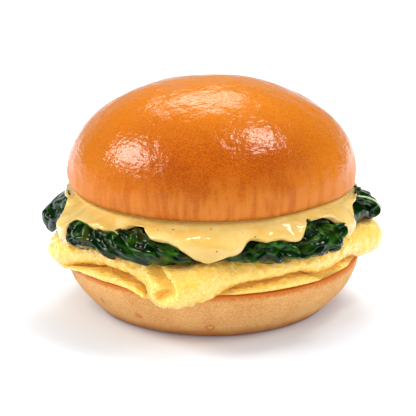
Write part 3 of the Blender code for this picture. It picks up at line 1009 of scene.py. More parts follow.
@dataclass
class BunHeel:
    """The bottom half of the bun: a flat cut face, a crisp edge, and a flank that rounds in to its foot."""

    radius: float = 50.7
    height: float = 17.8
    foot_radius: float = 37.5
    flank_radius: float = 40.5
    foot_round: float = 0.5
    rise_power: float = 1.88
    spread_power: float = 1.04
    edge_round: float = 0.4
    face_inset: float = 1.3
    face_climb: float = 35.0
    edge_climb: float = 25.0
    flank_climb: float = -42.0
    foot_climb: float = -50.0
    cuts: int = 96
    relief: Relief = Relief(0.35, 13.0, 11.0)
    ripple: Relief = Relief(0.25, 6.0, 5.0)
    dimples: Relief = Relief(0.2, 3.6, 15.0)

    def surface(self, direction: Vector) -> Vector:
        """The point of the heel that lies in a direction from its middle.

        Args:
            direction: A direction of length 1. Up is the cut face and down is the foot.

        Returns:
            The point in millimetres.
        """
        angle, climb = bearing(direction)
        if climb > self.face_climb:
            radius = (self.radius - self.face_inset) * (90.0 - climb) / (90.0 - self.face_climb)
            return place_at(angle, radius, self.height)
        if climb < self.foot_climb:
            return place_at(angle, self.foot_radius * (90.0 + climb) / (90.0 + self.foot_climb), 0.0)
        ripple = self.ripple.at(place_at(angle, self.radius, 0.0))
        if climb > self.edge_climb:
            share = (climb - self.edge_climb) / (self.face_climb - self.edge_climb)
            radius = self.radius - self.face_inset * share ** 2 + ripple * (1.0 - share)
            return place_at(angle, radius, self.height - self.edge_round * (1.0 - share) ** 1.5)
        if climb < self.flank_climb:
            share = (climb - self.foot_climb) / (self.flank_climb - self.foot_climb)
            radius = self.foot_radius + (self.flank_radius - self.foot_radius) * share
            return place_at(angle, radius, self.foot_round * share ** 2)
        share = (climb - self.flank_climb) / (self.edge_climb - self.flank_climb)
        bulge = (1.0 - (1.0 - share) ** self.rise_power) ** self.spread_power
        radius = self.flank_radius + (self.radius - self.flank_radius) * bulge
        height = self.foot_round + (self.height - self.edge_round - self.foot_round) * share
        place = place_at(angle, radius, height)
        swell = self.relief.at(place) * (1.0 - share) + ripple * share
        swell += self.dimples.at(place) * sin(pi * share)
        return place_at(angle, radius + swell, height)

    def build(self) -> Piece:
        """Presses the heel out of a ball.

        Returns:
            The new object.
        """
        heel = quad_ball("heel_of_bun", self.cuts)
        sculpt(heel, lambda point, _: self.surface(point.normalized()))
        relax(heel, 0.4, 1)
        sculpt(heel, lambda point, _: Vector((point.x, point.y, max(0.0, point.z))))
        smooth_shade(heel)
        return heel

    def dress(self, heel: Piece) -> None:
        """Bakes the heel."""
        wear(heel, Layer.HEEL, BakedCrust().make())
        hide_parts(Layer.HEEL.node)


@dataclass
class Omelette:
    """The folded omelette: an upper fold with a round edge over a lower one, and a seam between them."""

    top: float = 28.5
    bottom: float = 17.86
    radius: float = 49.6
    droop_from: float = 46.5
    droop_rate: float = 0.016
    droop_power: float = 1.6
    edge_round: float = 1.9
    nose: float = 4.2
    underside: float = 23.0
    shut_within: float = 1.0
    open_beyond: float = 1.9
    seam_depth: float = 0.8
    seam_gape: float = 0.35
    lower_radius: float = 50.9
    lower_nose: float = 1.9
    rests_to: float = 51.25
    flap_clearance: float = 1.15
    crease_depth: float = 4.2
    crease_width: float = 1.3
    bead: float = 0.9
    columns: int = 220
    top_rings: tuple[float, ...] = (20.0, 36.0, 42.0)
    edge_rings: tuple[float, ...] = (6.0, 3.4)
    nose_turns: tuple[float, ...] = (55.0, 18.0, -18.0, -55.0)
    foot_ring: float = 30.0
    wave_radius: float = 50.7
    swell_from: float = 20.0
    swell_full: float = 44.0
    rests_within: tuple[float, float] = (52.5, 51.0)
    curds_from: float = 36.0
    curds_full: float = 46.0
    crease_middle: float = -16.0
    crease_half: float = 12.0
    crease_front: float = -44.0
    relief: Relief = Relief(0.45, 7.0, 21.0)
    wave: Relief = Relief(0.5, 8.0, 31.0)
    corners: tuple[Hill, ...] = (
        Hill(-168, 7.5, 15, 14), Hill(-102, 8.6, 12.5, 14), Hill(0, 10, 14, 14), Hill(77, 7.5, 15, 15),
    )
    droops: tuple[Hill, ...] = (
        Hill(-170, 0.105, 20, 14), Hill(-102, 0.035, 12, 16), Hill(-46, 0.1, 15, 15), Hill(0, 0.008, 18, 18),
        Hill(77, 0.05, 16, 16),
    )
    undersides: tuple[Hill, ...] = (
        Hill(-170, -6.6, 24, 18), Hill(-147, -2.0, 14, 12), Hill(-126, -1.2, 8, 7), Hill(-105, -8.8, 12, 21),
        Hill(-70, -1.3, 14, 14), Hill(-42, -3.6, 10, 14), Hill(0, -6.4, 27, 14), Hill(77, -4.0, 13, 13),
    )
    lower_edges: tuple[Hill, ...] = (Hill(-164, 3.2, 10, 14), Hill(-138, 1.2, 16, 16), Hill(-111, 3.2, 9, 6))
    hangs: tuple[Hill, ...] = (Hill(-163, 2.4, 10, 10), Hill(-110, 2.2, 9, 9))
    seam_depths: tuple[Hill, ...] = (
        Hill(-128, 1.8, 22, 12), Hill(-60, 1.2, 22, 22), Hill(40, 2.4, 14, 14), Hill(130, 3, 30, 30),
    )
    seam_gapes: tuple[Hill, ...] = (Hill(-122, 0.9, 14, 8), Hill(-60, 0.5, 22, 22), Hill(130, 0.8, 30, 30))
    crease: tuple[tuple[float, float], ...] = (
        (-111.0, 28.6), (-109.0, 26.4), (-106.2, 24.2), (-103.6, 22.1), (-103.4, 20.8), (-105.4, 20.0),
        (-107.2, 18.8),
    )
    curd_sizes: tuple[Relief, ...] = (Relief(0.4, 6.0, 2.0), Relief(0.42, 2.6, 6.0), Relief(0.36, 1.35, 12.0))

    def reach(self, angle: float) -> float:
        """The radius of the upper fold, which has four soft corners."""
        return self.radius + hills(angle, self.corners)

    def top_at(self, angle: float, radius: float) -> float:
        """The height of the upper face, which bends down past the bun and rounds off at its edge.

        Args:
            angle: The angle round the sandwich.
            radius: How far from the axis.

        Returns:
            The height in millimetres.
        """
        reach = self.reach(angle)
        rate = self.droop_rate + hills(angle, self.droops)
        droop = rate * max(0.0, radius - self.droop_from) ** self.droop_power
        return self.top - droop - self.edge_round * smooth_step(reach - 6.0, reach + 1.0, radius) ** 2

    def lower_fold(self, angle: float, under: float, back_radius: float, shut: float) -> Profile:
        """The edge below the upper fold.

        Args:
            angle: The angle round the sandwich.
            under: The height of the upper fold's underside.
            back_radius: The radius where the upper fold's nose ends.
            shut: 1 where the upper fold hides the lower one, 0 where the seam is open.

        Returns:
            The seam, then the nose of the lower fold, down to where it rests on the bun.
        """
        lower = self.lower_radius + hills(angle, self.lower_edges)
        gape = self.seam_gape + hills(angle, self.seam_gapes) * (1.0 - shut)
        depth = self.seam_depth + hills(angle, self.seam_depths) * (1.0 - shut)
        back = min(back_radius, lower - self.lower_nose) - depth
        lip = under - gape
        hang = hills(angle, self.hangs)
        rest = min(self.rests_to, lower - 0.9)
        thickness = lip - self.bottom + hang
        sag = (0.5 + hang) * smooth_step(self.rests_to - 0.1, self.rests_to + 0.4, back_radius)
        # The open seam from its lip inwards and out again, and then the nose of the lower fold.
        opened = (
            (back + 0.9, under + 0.1), (back, under - gape / 2.0), (back + 1.2, lip - 0.1),
            (lower - self.lower_nose, lip + 0.1), (lower - 0.5, lip - 0.15 * thickness),
            (lower, lip - 0.5 * thickness), (lower - 0.4, lip - 0.85 * thickness),
        )
        points = []
        for step, (radius, height) in enumerate(opened, 1):
            share = step / (len(opened) + 1.0)
            shut_radius = back_radius * (1.0 - share) + rest * share
            shut_height = under * (1.0 - share) + self.bottom * share - sag * sin(pi * share)
            points.append((radius + (shut_radius - radius) * shut, height + (shut_height - height) * shut))
        return [*points, (rest, self.bottom)]

    def section(self, angle: float) -> Profile:
        """The omelette's outline at an angle.

        Args:
            angle: The angle round the sandwich.

        Returns:
            The radius and height of each point, from top to foot.
        """
        upper = self.reach(angle) + self.wave.at(place_at(angle, self.wave_radius, 0.0))
        under = self.underside + hills(angle, self.undersides)
        profile = [(HUB, self.top)]
        for radius in (*self.top_rings, *(upper - inset for inset in self.edge_rings)):
            height = self.top_at(angle, radius)
            swell = self.relief.at(place_at(angle, radius, height))
            profile.append((radius, height + swell * smooth_step(self.swell_from, self.swell_full, radius)))
        half = (self.top_at(angle, upper - 1.5) - under) / 2.0
        nose = min(self.nose, 0.9 * half)
        hanging = smooth_step(self.bottom + 0.5, self.bottom - 0.3, under)
        clear = min(nose, max(1.2, upper - self.rests_to - self.flap_clearance))
        nose += (clear - nose) * hanging
        for turn in self.nose_turns:
            slope = radians(turn)
            profile.append((upper - nose + nose * cos(slope), under + half + half * sin(slope)))
        profile.append((upper - nose, under))
        shut = smooth_step(self.open_beyond, self.shut_within, under - self.bottom + hills(angle, self.hangs))
        profile.extend(self.lower_fold(angle, under, upper - nose, shut))
        return [*profile, (self.foot_ring, self.bottom), (HUB, self.bottom)]

    def crease_share(self, point: Vector) -> float:
        """1 in the crease where one flap is tucked behind the other, falling to 0 beside it."""
        return exp(-((self.crease_reach(point) / self.crease_width) ** 2))

    def crease_reach(self, point: Vector) -> float:
        """How far a point of the front corner lies from the middle of the crease.

        Args:
            point: The point in millimetres.

        Returns:
            The distance in millimetres, or a large one outside the corner.
        """
        if abs(point.x - self.crease_middle) > self.crease_half or point.y > self.crease_front:
            return NOWHERE_NEAR
        outside = radius_of(point)
        here = Vector((radians(angle_of(point)) * outside, point.z))
        line = [Vector((radians(angle) * outside, height)) for angle, height in self.crease]
        return min(
            (here - start.lerp(end, share / 8.0)).length
            for start, end in zip(line, line[1:]) for share in range(9)
        )

    def build(self) -> Piece:
        """Draws the omelette out ring by ring and covers it in soft curds.

        Returns:
            The new object.
        """
        angles = even_angles(self.columns)
        egg = ring_body("folded_omelette", angles, [self.section(angle) for angle in angles], 2)

        def curdle(point: Vector, normal: Vector) -> Vector:
            """Raises the curds and presses in the crease.

            Args:
                point: A point in millimetres.
                normal: Its normal.

            Returns:
                The point's new place.
            """
            outside = radius_of(point)
            if outside < self.curds_from:
                return point
            curds = sum(size.at(point) for size in self.curd_sizes)
            curds *= smooth_step(self.curds_from, self.curds_full, outside)
            resting = smooth_step(self.bottom + 1.2, self.bottom + 0.2, point.z)
            resting *= smooth_step(*self.rests_within, outside)
            out = outward(point)
            facing = smooth_step(-0.2, 0.2, normal.dot(out))
            past = self.crease_reach(point) - 2.3 * self.crease_width
            folded = self.bead * exp(-((past / self.crease_width) ** 2))
            folded -= self.crease_depth * self.crease_share(point)
            return point + normal * curds * (1.0 - resting) + out * folded * facing

        sculpt(egg, curdle)

        def hollow(point: Vector, normal: Vector) -> float:
            """How deep in a fold a point lies, from 0 to 1.

            Args:
                point: A point in millimetres.
                normal: Its normal.

            Returns:
                The number to paint.
            """
            facing = normal.dot(outward(point))
            folded = 0.6 * smooth_step(0.35, -0.5, facing) * smooth_step(28.0, 26.0, point.z)
            curds = sum(size.at(point) for size in self.curd_sizes[1:])
            return max(folded, 0.7 * self.crease_share(point), 0.6 * smooth_step(0.02, -0.25, curds))

        # This number marks where the finish paints light into the folds, the crease and the curd hollows.
        paint(egg, "hollow", hollow)
        smooth_shade(egg, 180.0)
        return egg

    def dress(self, egg: Piece) -> None:
        """Finishes the egg."""
        wear(egg, Layer.EGG, FluffyEgg().make())
        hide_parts(Layer.EGG.node)


@dataclass(frozen=True)
class Leaf:
    """A wilted leaf: the angle and level of its middle, its size, its turn and its lift.

    The level is a climb from -1 to 1 for a leaf on the heap's rim, and a height for a draped one.
    """

    angle: float
    level: float
    length: float
    width: float
    turn: float
    lift: float = 0.6


@dataclass(frozen=True)
class Wilt:
    """How a kind of leaf has wilted: its outline, its bow, its pleats, its lumps and its tucked edge."""

    stalk: float
    taper: float
    waver: float
    waver_rate: float
    bow: float
    pleats: float
    slant: float
    pleat_depth: float
    lump: tuple[float, float]
    crumple: tuple[float, float]
    flattened: float
    tucked: float
    sunk: float

    def at(self, leaf: Leaf, seed: float, along: float, side: float) -> Triple:
        """Where a point of a leaf lies, in millimetres from the leaf's middle.

        Args:
            leaf: The leaf.
            seed: The number that its folds grow from.
            along: From -1 at its stalk to 1 at its tip.
            side: From -1 to 1 across it.

        Returns:
            How far it lies round the sandwich, how far up, and how far it stands out.
        """
        outline = max(0.0, 1.0 - along * along) ** 0.6 * (1.0 - self.taper * along)
        outline = self.stalk + (1.0 - self.stalk) * outline
        waver = 1.0 + self.waver * noise.noise(Vector((self.waver_rate * along, 2.0 * side, seed)))
        across = side * outline * waver * leaf.width / 2.0
        across += self.bow * noise.noise(Vector((along, seed, 0.0)))
        down = along * leaf.length / 2.0
        turn = radians(leaf.turn)
        east = down * cos(turn) - across * sin(turn)
        rise = down * sin(turn) + across * cos(turn)
        bend = self.slant * noise.noise(Vector((along * 1.5, side, seed)))
        pleat = sin(self.pleats * side + self.slant * along + seed + bend)
        lift = leaf.lift + self.pleat_depth * pleat * abs(pleat)
        for (depth, size), shift in ((self.lump, 0.0), (self.crumple, 9.0)):
            lift += depth * noise.noise(Vector((east, rise, seed + shift)) / size)
        tuck = max(abs(side), abs(along)) ** 6
        return east, rise, max(-self.sunk, lift * (1.0 - self.flattened * tuck) - self.tucked * tuck)


@dataclass
class SpinachHeap:
    """The heap of wilted leaves between the omelette and the sauce."""

    egg: Omelette
    top: float = 37.6
    foot: float = 28.95
    gap: float = 0.45
    radius: float = 49.8
    centre_radius: float = 38.0
    shoulder_power: float = 0.85
    foot_power: float = 0.3
    columns: int = 200
    rows: int = 14
    rim_climb: float = 0.98
    inner_ring: float = 26.0
    sheet_radius: float = 52.0
    rise: float = 7.0
    climb_limit: float = 0.88
    core_folds: tuple[float, float] = (0.9, 17.0)
    crest: float = 40.0
    over_crest: float = 0.2
    leaf_thickness: float = 0.45
    leaf_cells: tuple[int, int] = (30, 18)
    leaf_seeds: tuple[float, float] = (7.3, 1.1)
    draped_seeds: tuple[float, float] = (5.7, 3.3)
    laid: Wilt = Wilt(
        stalk=0.22, taper=0.25, waver=0.16, waver_rate=3.0, bow=1.5, pleats=5.0, slant=2.0, pleat_depth=0.75,
        lump=(0.5, 2.6), crumple=(0.9, 6.0), flattened=0.6, tucked=0.5, sunk=0.4,
    )
    over: Wilt = Wilt(
        stalk=0.25, taper=0.2, waver=0.3, waver_rate=2.6, bow=2.0, pleats=4.0, slant=2.5, pleat_depth=1.2,
        lump=(1.2, 4.2), crumple=(0.2, 1.6), flattened=0.5, tucked=0.7, sunk=0.5,
    )
    feelers: Feelers = Feelers((-2.0, 0.0, 2.0), (-1.2, 0.0, 1.2), 30.0)
    clumps: tuple[Hill, ...] = (
        Hill(178, 7.8, 11, 11), Hill(-146, 3.6, 9, 9), Hill(-115, 4.6, 17, 16), Hill(-66, 2.8, 9, 9),
        Hill(-47, 3.8, 9, 9), Hill(0, 5.6, 9, 9), Hill(34, 3, 10, 10), Hill(66, 4, 11, 11),
        Hill(103, 3.2, 10, 10), Hill(138, 3.6, 11, 11),
    )
    sags: tuple[Hill, ...] = (Hill(-170, 4.8, 15, 14), Hill(-146, 1.0, 9, 9), Hill(2, 1.4, 12, 12))
    sag_from: float = 50.0
    sag_full: float = 57.0
    sag_clearance: float = 0.6
    leaves: tuple[Leaf, ...] = (
        Leaf(-176, 0.30, 26, 17, 18), Leaf(-173, -0.45, 22, 13, -28), Leaf(-168, 0.05, 20, 12, 40, 1.4),
        Leaf(-150, 0.25, 22, 15, -32), Leaf(-141, -0.30, 21, 12, -12), Leaf(-146, -0.05, 18, 11, 14, 1.5),
        Leaf(-126, -0.25, 24, 12, -14), Leaf(-119, -0.5, 26, 9, -8, 1.3), Leaf(-108, -0.35, 26, 11, -16),
        Leaf(-79, -0.30, 13, 8, 12), Leaf(-68, -0.05, 20, 12, -26), Leaf(-63, -0.4, 18, 9, 12, 1.3),
        Leaf(-57, -0.45, 22, 11, 14), Leaf(-46, 0.30, 19, 14, 24), Leaf(-40, -0.35, 17, 11, 30),
        Leaf(-50, 0.0, 16, 10, -36, 1.5), Leaf(-4, 0.35, 20, 13, -20), Leaf(4, -0.30, 17, 11, 34),
        Leaf(30, -0.10, 24, 13, -15), Leaf(62, 0.05, 26, 14, 16), Leaf(98, -0.15, 25, 13, -18),
        Leaf(134, 0.10, 26, 14, 20),
    )
    filler_leaves: int = 26
    filler_seed: int = 5
    filler_ranges: tuple[tuple[float, float], ...] = (
        ALL_ROUND, (-0.5, 0.45), (12.0, 22.0), (7.0, 12.0), (-60.0, 60.0), (0.2, 1.0),
    )
    draped: tuple[Leaf, ...] = (
        Leaf(-143, 32.4, 9, 8, 58, 0.5), Leaf(-139, 33.4, 14, 7, -14, 0.9), Leaf(-134, 31.4, 15, 7, -30, 0.8),
        Leaf(-141, 30.8, 12, 6, 8, 0.9), Leaf(-115, 34.8, 11, 6, -12, 0.1), Leaf(-117, 33.4, 18, 6, -14, 0.7),
        Leaf(-107, 31.8, 18, 7, -12, 0.5), Leaf(-126, 32.4, 16, 6, -18, 0.6), Leaf(-74, 32.2, 10, 5, 10, 0.5),
        Leaf(-65, 31.7, 13, 7, -14, 0.6), Leaf(-58, 32.2, 16, 7, 8, 0.9), Leaf(-49, 35.8, 12, 6, 4, 0.3),
        Leaf(-46, 33.8, 14, 8, -24, 0.8), Leaf(-53, 33.2, 12, 7, 40, 0.9), Leaf(-42, 32.8, 12, 7, 24, 0.9),
        Leaf(-172, 35.0, 14, 8, 35, -0.3), Leaf(-4, 36.0, 15, 8, -25, 0.6), Leaf(1, 33.5, 14, 7, 20, 0.8),
    )
    stem_radius: float = 0.3
    stem: tuple[Triple, ...] = (
        (-15.0, 50.5, 39.8), (-10.0, 53.6, 38.0), (-5.5, 56.4, 35.4), (-2.0, 58.4, 32.4),
    )

    def rim(self, angle: float, climb: float, lift: float = 0.0) -> Vector:
        """A point on the heap's rim.

        Args:
            angle: The angle round the sandwich.
            climb: From 1 at the rim's top to -1 at its foot.
            lift: How far the point stands out from the rim.

        Returns:
            The point in millimetres.
        """
        slope = radians(90.0 * climb)
        power = self.shoulder_power if climb > 0 else self.foot_power
        bulge = self.radius + hills(angle, self.clumps) - self.centre_radius + lift
        radius = self.centre_radius + bulge * max(0.0, cos(slope)) ** power
        floor = self.egg.top_at(angle, min(radius, self.egg.reach(angle))) + self.gap
        height = (self.top + floor + (self.top - floor) * sin(slope)) / 2.0
        sag = hills(angle, self.sags) * smooth_step(self.sag_from, self.sag_full, radius)
        return place_at(angle, radius, max(min(height, floor + self.sag_clearance), height - sag))

    def section(self, angle: float) -> Profile:
        """The heap's outline at an angle.

        Args:
            angle: The angle round the sandwich.

        Returns:
            The radius and height of each point, from top to foot.
        """
        profile = [(HUB, self.top), (self.inner_ring, self.top)]
        for row in range(self.rows + 1):
            point = self.rim(angle, self.rim_climb - 2.0 * self.rim_climb * row / self.rows)
            profile.append((radius_of(point), point.z))
        return [*profile, (self.inner_ring, self.foot), (HUB, self.foot)]

    def crumple(self, point: Vector, seed: float) -> float:
        """How far the folds of the leaves stand out at a point.

        Args:
            point: The point in millimetres.
            seed: The number that the folds grow from.

        Returns:
            1 on a crest, falling to 0 in a hollow.
        """
        bent = point + Vector((0.0, 0.0, 1.6 * noise.noise(point / 7.0)))
        long_way = Vector((bent.x, bent.y, bent.z * 1.9))
        return 0.65 * folds(long_way, 6.5, seed) + 0.35 * folds(bent, 2.8, seed + 4.0)

    def mark_crests(self, piece: Piece, seed: float) -> None:
        """Paints on how near each point is to the crest of a fold."""
        paint(piece, "ridge", lambda point, _: self.crumple(point, seed))

    def build_core(self) -> Piece:
        """Builds the mass of the heap, crumpled all round.

        Returns:
            The new object.
        """
        angles = even_angles(self.columns)
        core = ring_body("spinach_heap", angles, [self.section(angle) for angle in angles], 1)
        depth, seed = self.core_folds
        sculpt(core, lambda point, normal: point + normal * depth * (self.crumple(point, seed) - 0.55))
        self.mark_crests(core, seed)
        smooth_shade(core, 180.0)
        return core

    def leaf_surface(self, leaf: Leaf, seed: float, along: float, side: float) -> Vector:
        """A point on a leaf that lies on the rim of the heap.

        Args:
            leaf: The leaf.
            seed: The number that its folds grow from.
            along: From -1 at its stalk to 1 at its tip.
            side: From -1 to 1 across it.

        Returns:
            The point in millimetres.
        """
        east, rise, lift = self.laid.at(leaf, seed, along, side)
        climb = self.climb_limit * tanh((leaf.level + rise / self.rise) / self.climb_limit)
        here = leaf.angle + degrees(east / self.sheet_radius)
        return self.rim(here, climb, lift * (1.0 - 0.5 * climb * climb))

    def drape(self, tree: BVHTree, leaf: Leaf, seed: float, along: float, side: float) -> Vector:
        """A point on a leaf that lies over whatever is under it.

        Args:
            tree: The surfaces under the leaf.
            leaf: The leaf.
            seed: The number that its folds grow from.
            along: From -1 at its stalk to 1 at its tip.
            side: From -1 to 1 across it.

        Returns:
            The point in millimetres.
        """
        east, rise, lift = self.over.at(leaf, seed, along, side)
        here = leaf.angle + degrees(east / self.sheet_radius)
        height = min(leaf.level + rise, self.crest + self.over_crest * (leaf.level + rise - self.crest))
        found = self.feelers.feel(tree, here, height, self.radius)
        return place_at(here, 0.5 * max(found) + 0.5 * sum(found) / len(found) + lift, height)

    def build_leaf(self, name: str, seed: float, surface: Callable[..., Vector]) -> Piece:
        """One leaf, with its thickness and its folds.

        Args:
            name: The new object's name.
            seed: The number that its folds grow from.
            surface: Gives the leaf's point in millimetres along and across it, both from -1 to 1.

        Returns:
            The new object.
        """
        long_cells, wide_cells = self.leaf_cells
        deselect_all()
        bpy.ops.mesh.primitive_grid_add(x_subdivisions=long_cells, y_subdivisions=wide_cells, size=2.0 * MM)
        piece = started(name)
        sculpt(piece, lambda point, _: surface(point.x, point.y))
        self.mark_crests(piece, seed)
        wall = piece.modifiers.new("thickness", "SOLIDIFY")
        wall.thickness = self.leaf_thickness * MM
        wall.offset = 0.0
        refine(piece, 1)
        smooth_shade(piece, 180.0)
        return piece

    def build_leaves(
        self, name: str, leaves: Sequence[Leaf], seeds: tuple[float, float], surface: Callable[..., Vector]
    ) -> list[Piece]:
        """Some leaves of one kind.

        Args:
            name: What their names begin with.
            leaves: The leaves.
            seeds: By how much the seed grows from leaf to leaf, and the first leaf's seed.
            surface: Gives a leaf's point, from the leaf, its seed, and the place along and across it.

        Returns:
            The new objects.
        """
        made = []
        for index, leaf in enumerate(leaves):
            seed = seeds[0] * index + seeds[1]
            made.append(self.build_leaf(f"{name}_{index:02d}", seed, partial(surface, leaf, seed)))
        return made

    def scattered(self) -> list[Leaf]:
        """Strews small leaves all round the rim.

        Returns:
            The leaves.
        """
        luck = random.Random(self.filler_seed)
        return [
            Leaf(*(luck.uniform(low, high) for low, high in self.filler_ranges))
            for _ in range(self.filler_leaves)
        ]

    def build_stem(self) -> Piece:
        """Draws the pale stalk at the right along its curve.

        Returns:
            The new object.
        """
        deselect_all()
        bpy.ops.curve.primitive_bezier_curve_add()
        stem = started("spinach_stem")
        spline = stem.data.splines[0]
        spline.bezier_points.add(len(self.stem) - 2)
        for knot, place in zip(spline.bezier_points, self.stem):
            knot.co = place_at(*place) * MM
            knot.handle_left_type = "AUTO"
            knot.handle_right_type = "AUTO"
            knot.radius = 1.0
        stem.data.bevel_depth = self.stem_radius * MM
        stem.data.bevel_resolution = 3
        stem.data.use_fill_caps = True
        bpy.ops.object.convert(target="MESH")
        settle(stem)
        sculpt(stem, lambda point, normal: point + normal * 0.12 * noise.noise(point / 1.5))
        smooth_shade(stem, 50.0)
        return stem

    def build(self) -> list[Piece]:
        """Builds the heap and all the leaves on its rim.

        Returns:
            The new objects, the heap first.
        """
        leaves = [*self.leaves, *self.scattered()]
        return [
            self.build_core(), *self.build_leaves("spinach_leaf", leaves, self.leaf_seeds, self.leaf_surface),
        ]

    def build_draped(self, below: Sequence[Piece]) -> list[Piece]:
        """Lays out the leaves that climb over the edge of the sauce.

        Args:
            below: The objects that they lie on.

        Returns:
            The new objects.
        """
        surface = partial(self.drape, surfaces(below))
        return self.build_leaves("draped_leaf", self.draped, self.draped_seeds, surface)

    def dress(self, pieces: Sequence[Piece]) -> None:
        """Wets the leaves, and lets the heap stand for the node.

        Args:
            pieces: The heap and then the leaves.
        """
        leaf = WiltedLeaf().make()
        for piece in pieces:
            wear(piece, Layer.SPINACH, leaf)
        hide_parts(Layer.SPINACH.node)


@dataclass(frozen=True)
class Lobe:
    """A lobe of sauce: its angle, its half width, and how far it runs down."""

    angle: float
    half: float
    fall: float

    def at(self, angle: float) -> float:
        """How far the lobe has run down at an angle."""
        return self.fall * (1.0 - min(1.0, abs(turn_between(angle, self.angle)) / self.half) ** 2.4) ** 0.7


@dataclass
class CheeseSauce:
    """The sauce: a layer under the crown that wells out all round and runs down in lobes."""

    crown: BunCrown
    egg: Omelette
    floor: float = 38.55
    edge: float = 38.6
    thickness: float = 2.5
    inside_radius: float = 47.6
    bed_top: float = 37.2
    bed_foot: float = 25.5
    columns: int = 300
    flow_rows: int = 7
    bed_rows: int = 16
    bed_margin: float = 1.6
    top_ring: float = 30.0
    top_gap: float = 0.05
    rim_rings: tuple[tuple[float, float], ...] = ((-3.2, -0.05), (-1.7, -0.4))
    covers_at: float = 0.6
    below_egg_top: float = 2.4
    swells_out: tuple[float, float] = (47.5, 51.0)
    swells_down: tuple[float, float] = (41.0, 39.5)
    bridge_down: float = 0.9
    bridge_up: float = 1.6
    feelers: Feelers = Feelers((-2.6, -1.3, 0.0, 1.3, 2.6), (-0.8, 0.8), 35.0)
    relief: Relief = Relief(0.35, 10.0, 71.0)
    swells: tuple[Relief, ...] = (Relief(1.3, 7.0, 14.0), Relief(0.25, 3.2, 33.0))
    lobes: tuple[Lobe, ...] = (
        Lobe(-154, 7.6, 12.8), Lobe(-127, 9, 1.6), Lobe(-99, 11, 3), Lobe(-91.5, 9.5, 9.2),
        Lobe(-88.5, 12, 6.6), Lobe(-72, 12, 2), Lobe(-61.5, 5.2, 3.8), Lobe(-29, 9.5, 6.4), Lobe(-29, 7.5, 9),
        Lobe(26, 8, 3), Lobe(48, 7, 8.4), Lobe(82, 10, 4.2), Lobe(84, 5, 7.2), Lobe(118, 7.5, 9.4),
        Lobe(142, 9, 3.6), Lobe(158, 6, 2.2),
    )
    breaks: tuple[Triple, ...] = (
        (180.0, 14.0, 7.0), (-117.5, 1.5, 5.0), (-48.0, 4.2, 5.5), (-2.0, 15.0, 7.0),
    )

    def cover(self, angle: float) -> float:
        """1 where the sauce runs out over the spinach, 0 where the spinach comes out past it.

        Args:
            angle: The angle round the sandwich.

        Returns:
            The share, from 0 to 1.
        """
        return min(
            smooth_step(reach, reach + edge, abs(turn_between(angle, centre)))
            for centre, reach, edge in self.breaks
        )

    def fall(self, angle: float) -> float:
        """How far down the sauce has run at an angle."""
        return max(lobe.at(angle) for lobe in self.lobes) * self.cover(angle) ** 2

    def bed(self, tree: BVHTree, angle: float, heights: Sequence[float]) -> list[float]:
        """The radius that the sauce lies on.

        Args:
            tree: The surfaces under the sauce.
            angle: The angle round the sandwich.
            heights: The heights that are asked for, from the top down.

        Returns:
            A radius for each height, evened out because thick sauce bridges small hollows.
        """
        bare = self.inside_radius - self.bed_margin
        radii = [max(bare, *self.feelers.feel(tree, angle, height, bare)) for height in heights]
        for step in range(1, len(radii)):
            radii[step] = max(radii[step], radii[step - 1] - self.bridge_down)
        for step in range(len(radii) - 2, -1, -1):
            radii[step] = max(radii[step], radii[step + 1] - self.bridge_up)
        return radii

    def section(self, tree: BVHTree, angle: float) -> Profile:
        """The sauce's outline at an angle.

        Args:
            tree: The surfaces under the sauce.
            angle: The angle round the sandwich.

        Returns:
            The radius and height of each point, from the top, down the outside and back up the inside.
        """
        cover = self.cover(angle)
        bed_heights = [
            self.bed_top + (self.bed_foot - self.bed_top) * row / (self.bed_rows - 1.0)
            for row in range(self.bed_rows)
        ]
        inside, reach = self.inside_radius, smooth_step(0.0, self.covers_at, cover)
        bed = [inside + (radius - inside) * reach for radius in self.bed(tree, angle, bed_heights)]
        start = self.floor + (bed_heights[0] - self.floor) * smooth_step(self.covers_at, 1.0, cover)
        lowest = self.egg.top - self.below_egg_top
        end = min(max(self.edge - self.fall(angle), lowest), start - 0.8 * cover - 0.1)
        steps = [row / (self.flow_rows - 1.0) for row in range(self.flow_rows)]
        heights = [start + (end - start) * step for step in steps]
        line = sorted(zip(bed_heights, bed))
        inner = [on_line(height, line) for height in heights]
        swell = self.thickness + self.relief.at(place_at(angle, self.crown.widest_radius, 0.0))
        rim, under = self.crown.rim_radius, self.crown.rim_at(angle)
        profile = [(radius, self.crown.face_height - self.top_gap) for radius in (HUB, self.top_ring)]
        profile.extend((rim + out, under + up) for out, up in self.rim_rings)
        profile.append((rim + 0.2 + 0.5 * cover, under - 1.8))
        for step, radius, height in zip(steps, inner, heights):
            full = sqrt(max(0.0, 1.0 - (max(step - 0.55, 0.0) / 0.45) ** 2 * 0.6))
            profile.append((radius + swell * full, height + 0.7 * (1.0 - (start - height) / 12.0)))
        profile.append((inner[-1] + 0.55 * swell, end - 0.9 * cover - 0.05))
        profile.extend(zip(inner[::-1], heights[::-1]))
        return [*profile, (rim - 8.0, self.floor), (HUB, self.floor)]

    def build(self, below: Sequence[Piece]) -> Piece:
        """The sauce's mesh, drawn out ring by ring over what it lies on.

        Args:
            below: The objects that the sauce runs over.

        Returns:
            The new object.
        """
        tree = surfaces(below)
        angles = even_angles(self.columns)
        sauce = ring_body("cheese_sauce", angles, [self.section(tree, angle) for angle in angles], 1)
        relax(sauce, 0.5, 6)

        def swell(point: Vector, normal: Vector) -> Vector:
            """Lets the sauce stand up in soft swells where it has run out."""
            share = smooth_step(*self.swells_out, radius_of(point)) * smooth_step(*self.swells_down, point.z)
            return point + normal * share * sum(size.at(point) for size in self.swells)

        sculpt(sauce, swell)
        smooth_shade(sauce, 180.0)
        return sauce

    def dress(self, sauce: Piece) -> None:
        """Finishes the sauce."""
        wear(sauce, Layer.SAUCE, MeltedCheese().make())
        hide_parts(Layer.SAUCE.node)


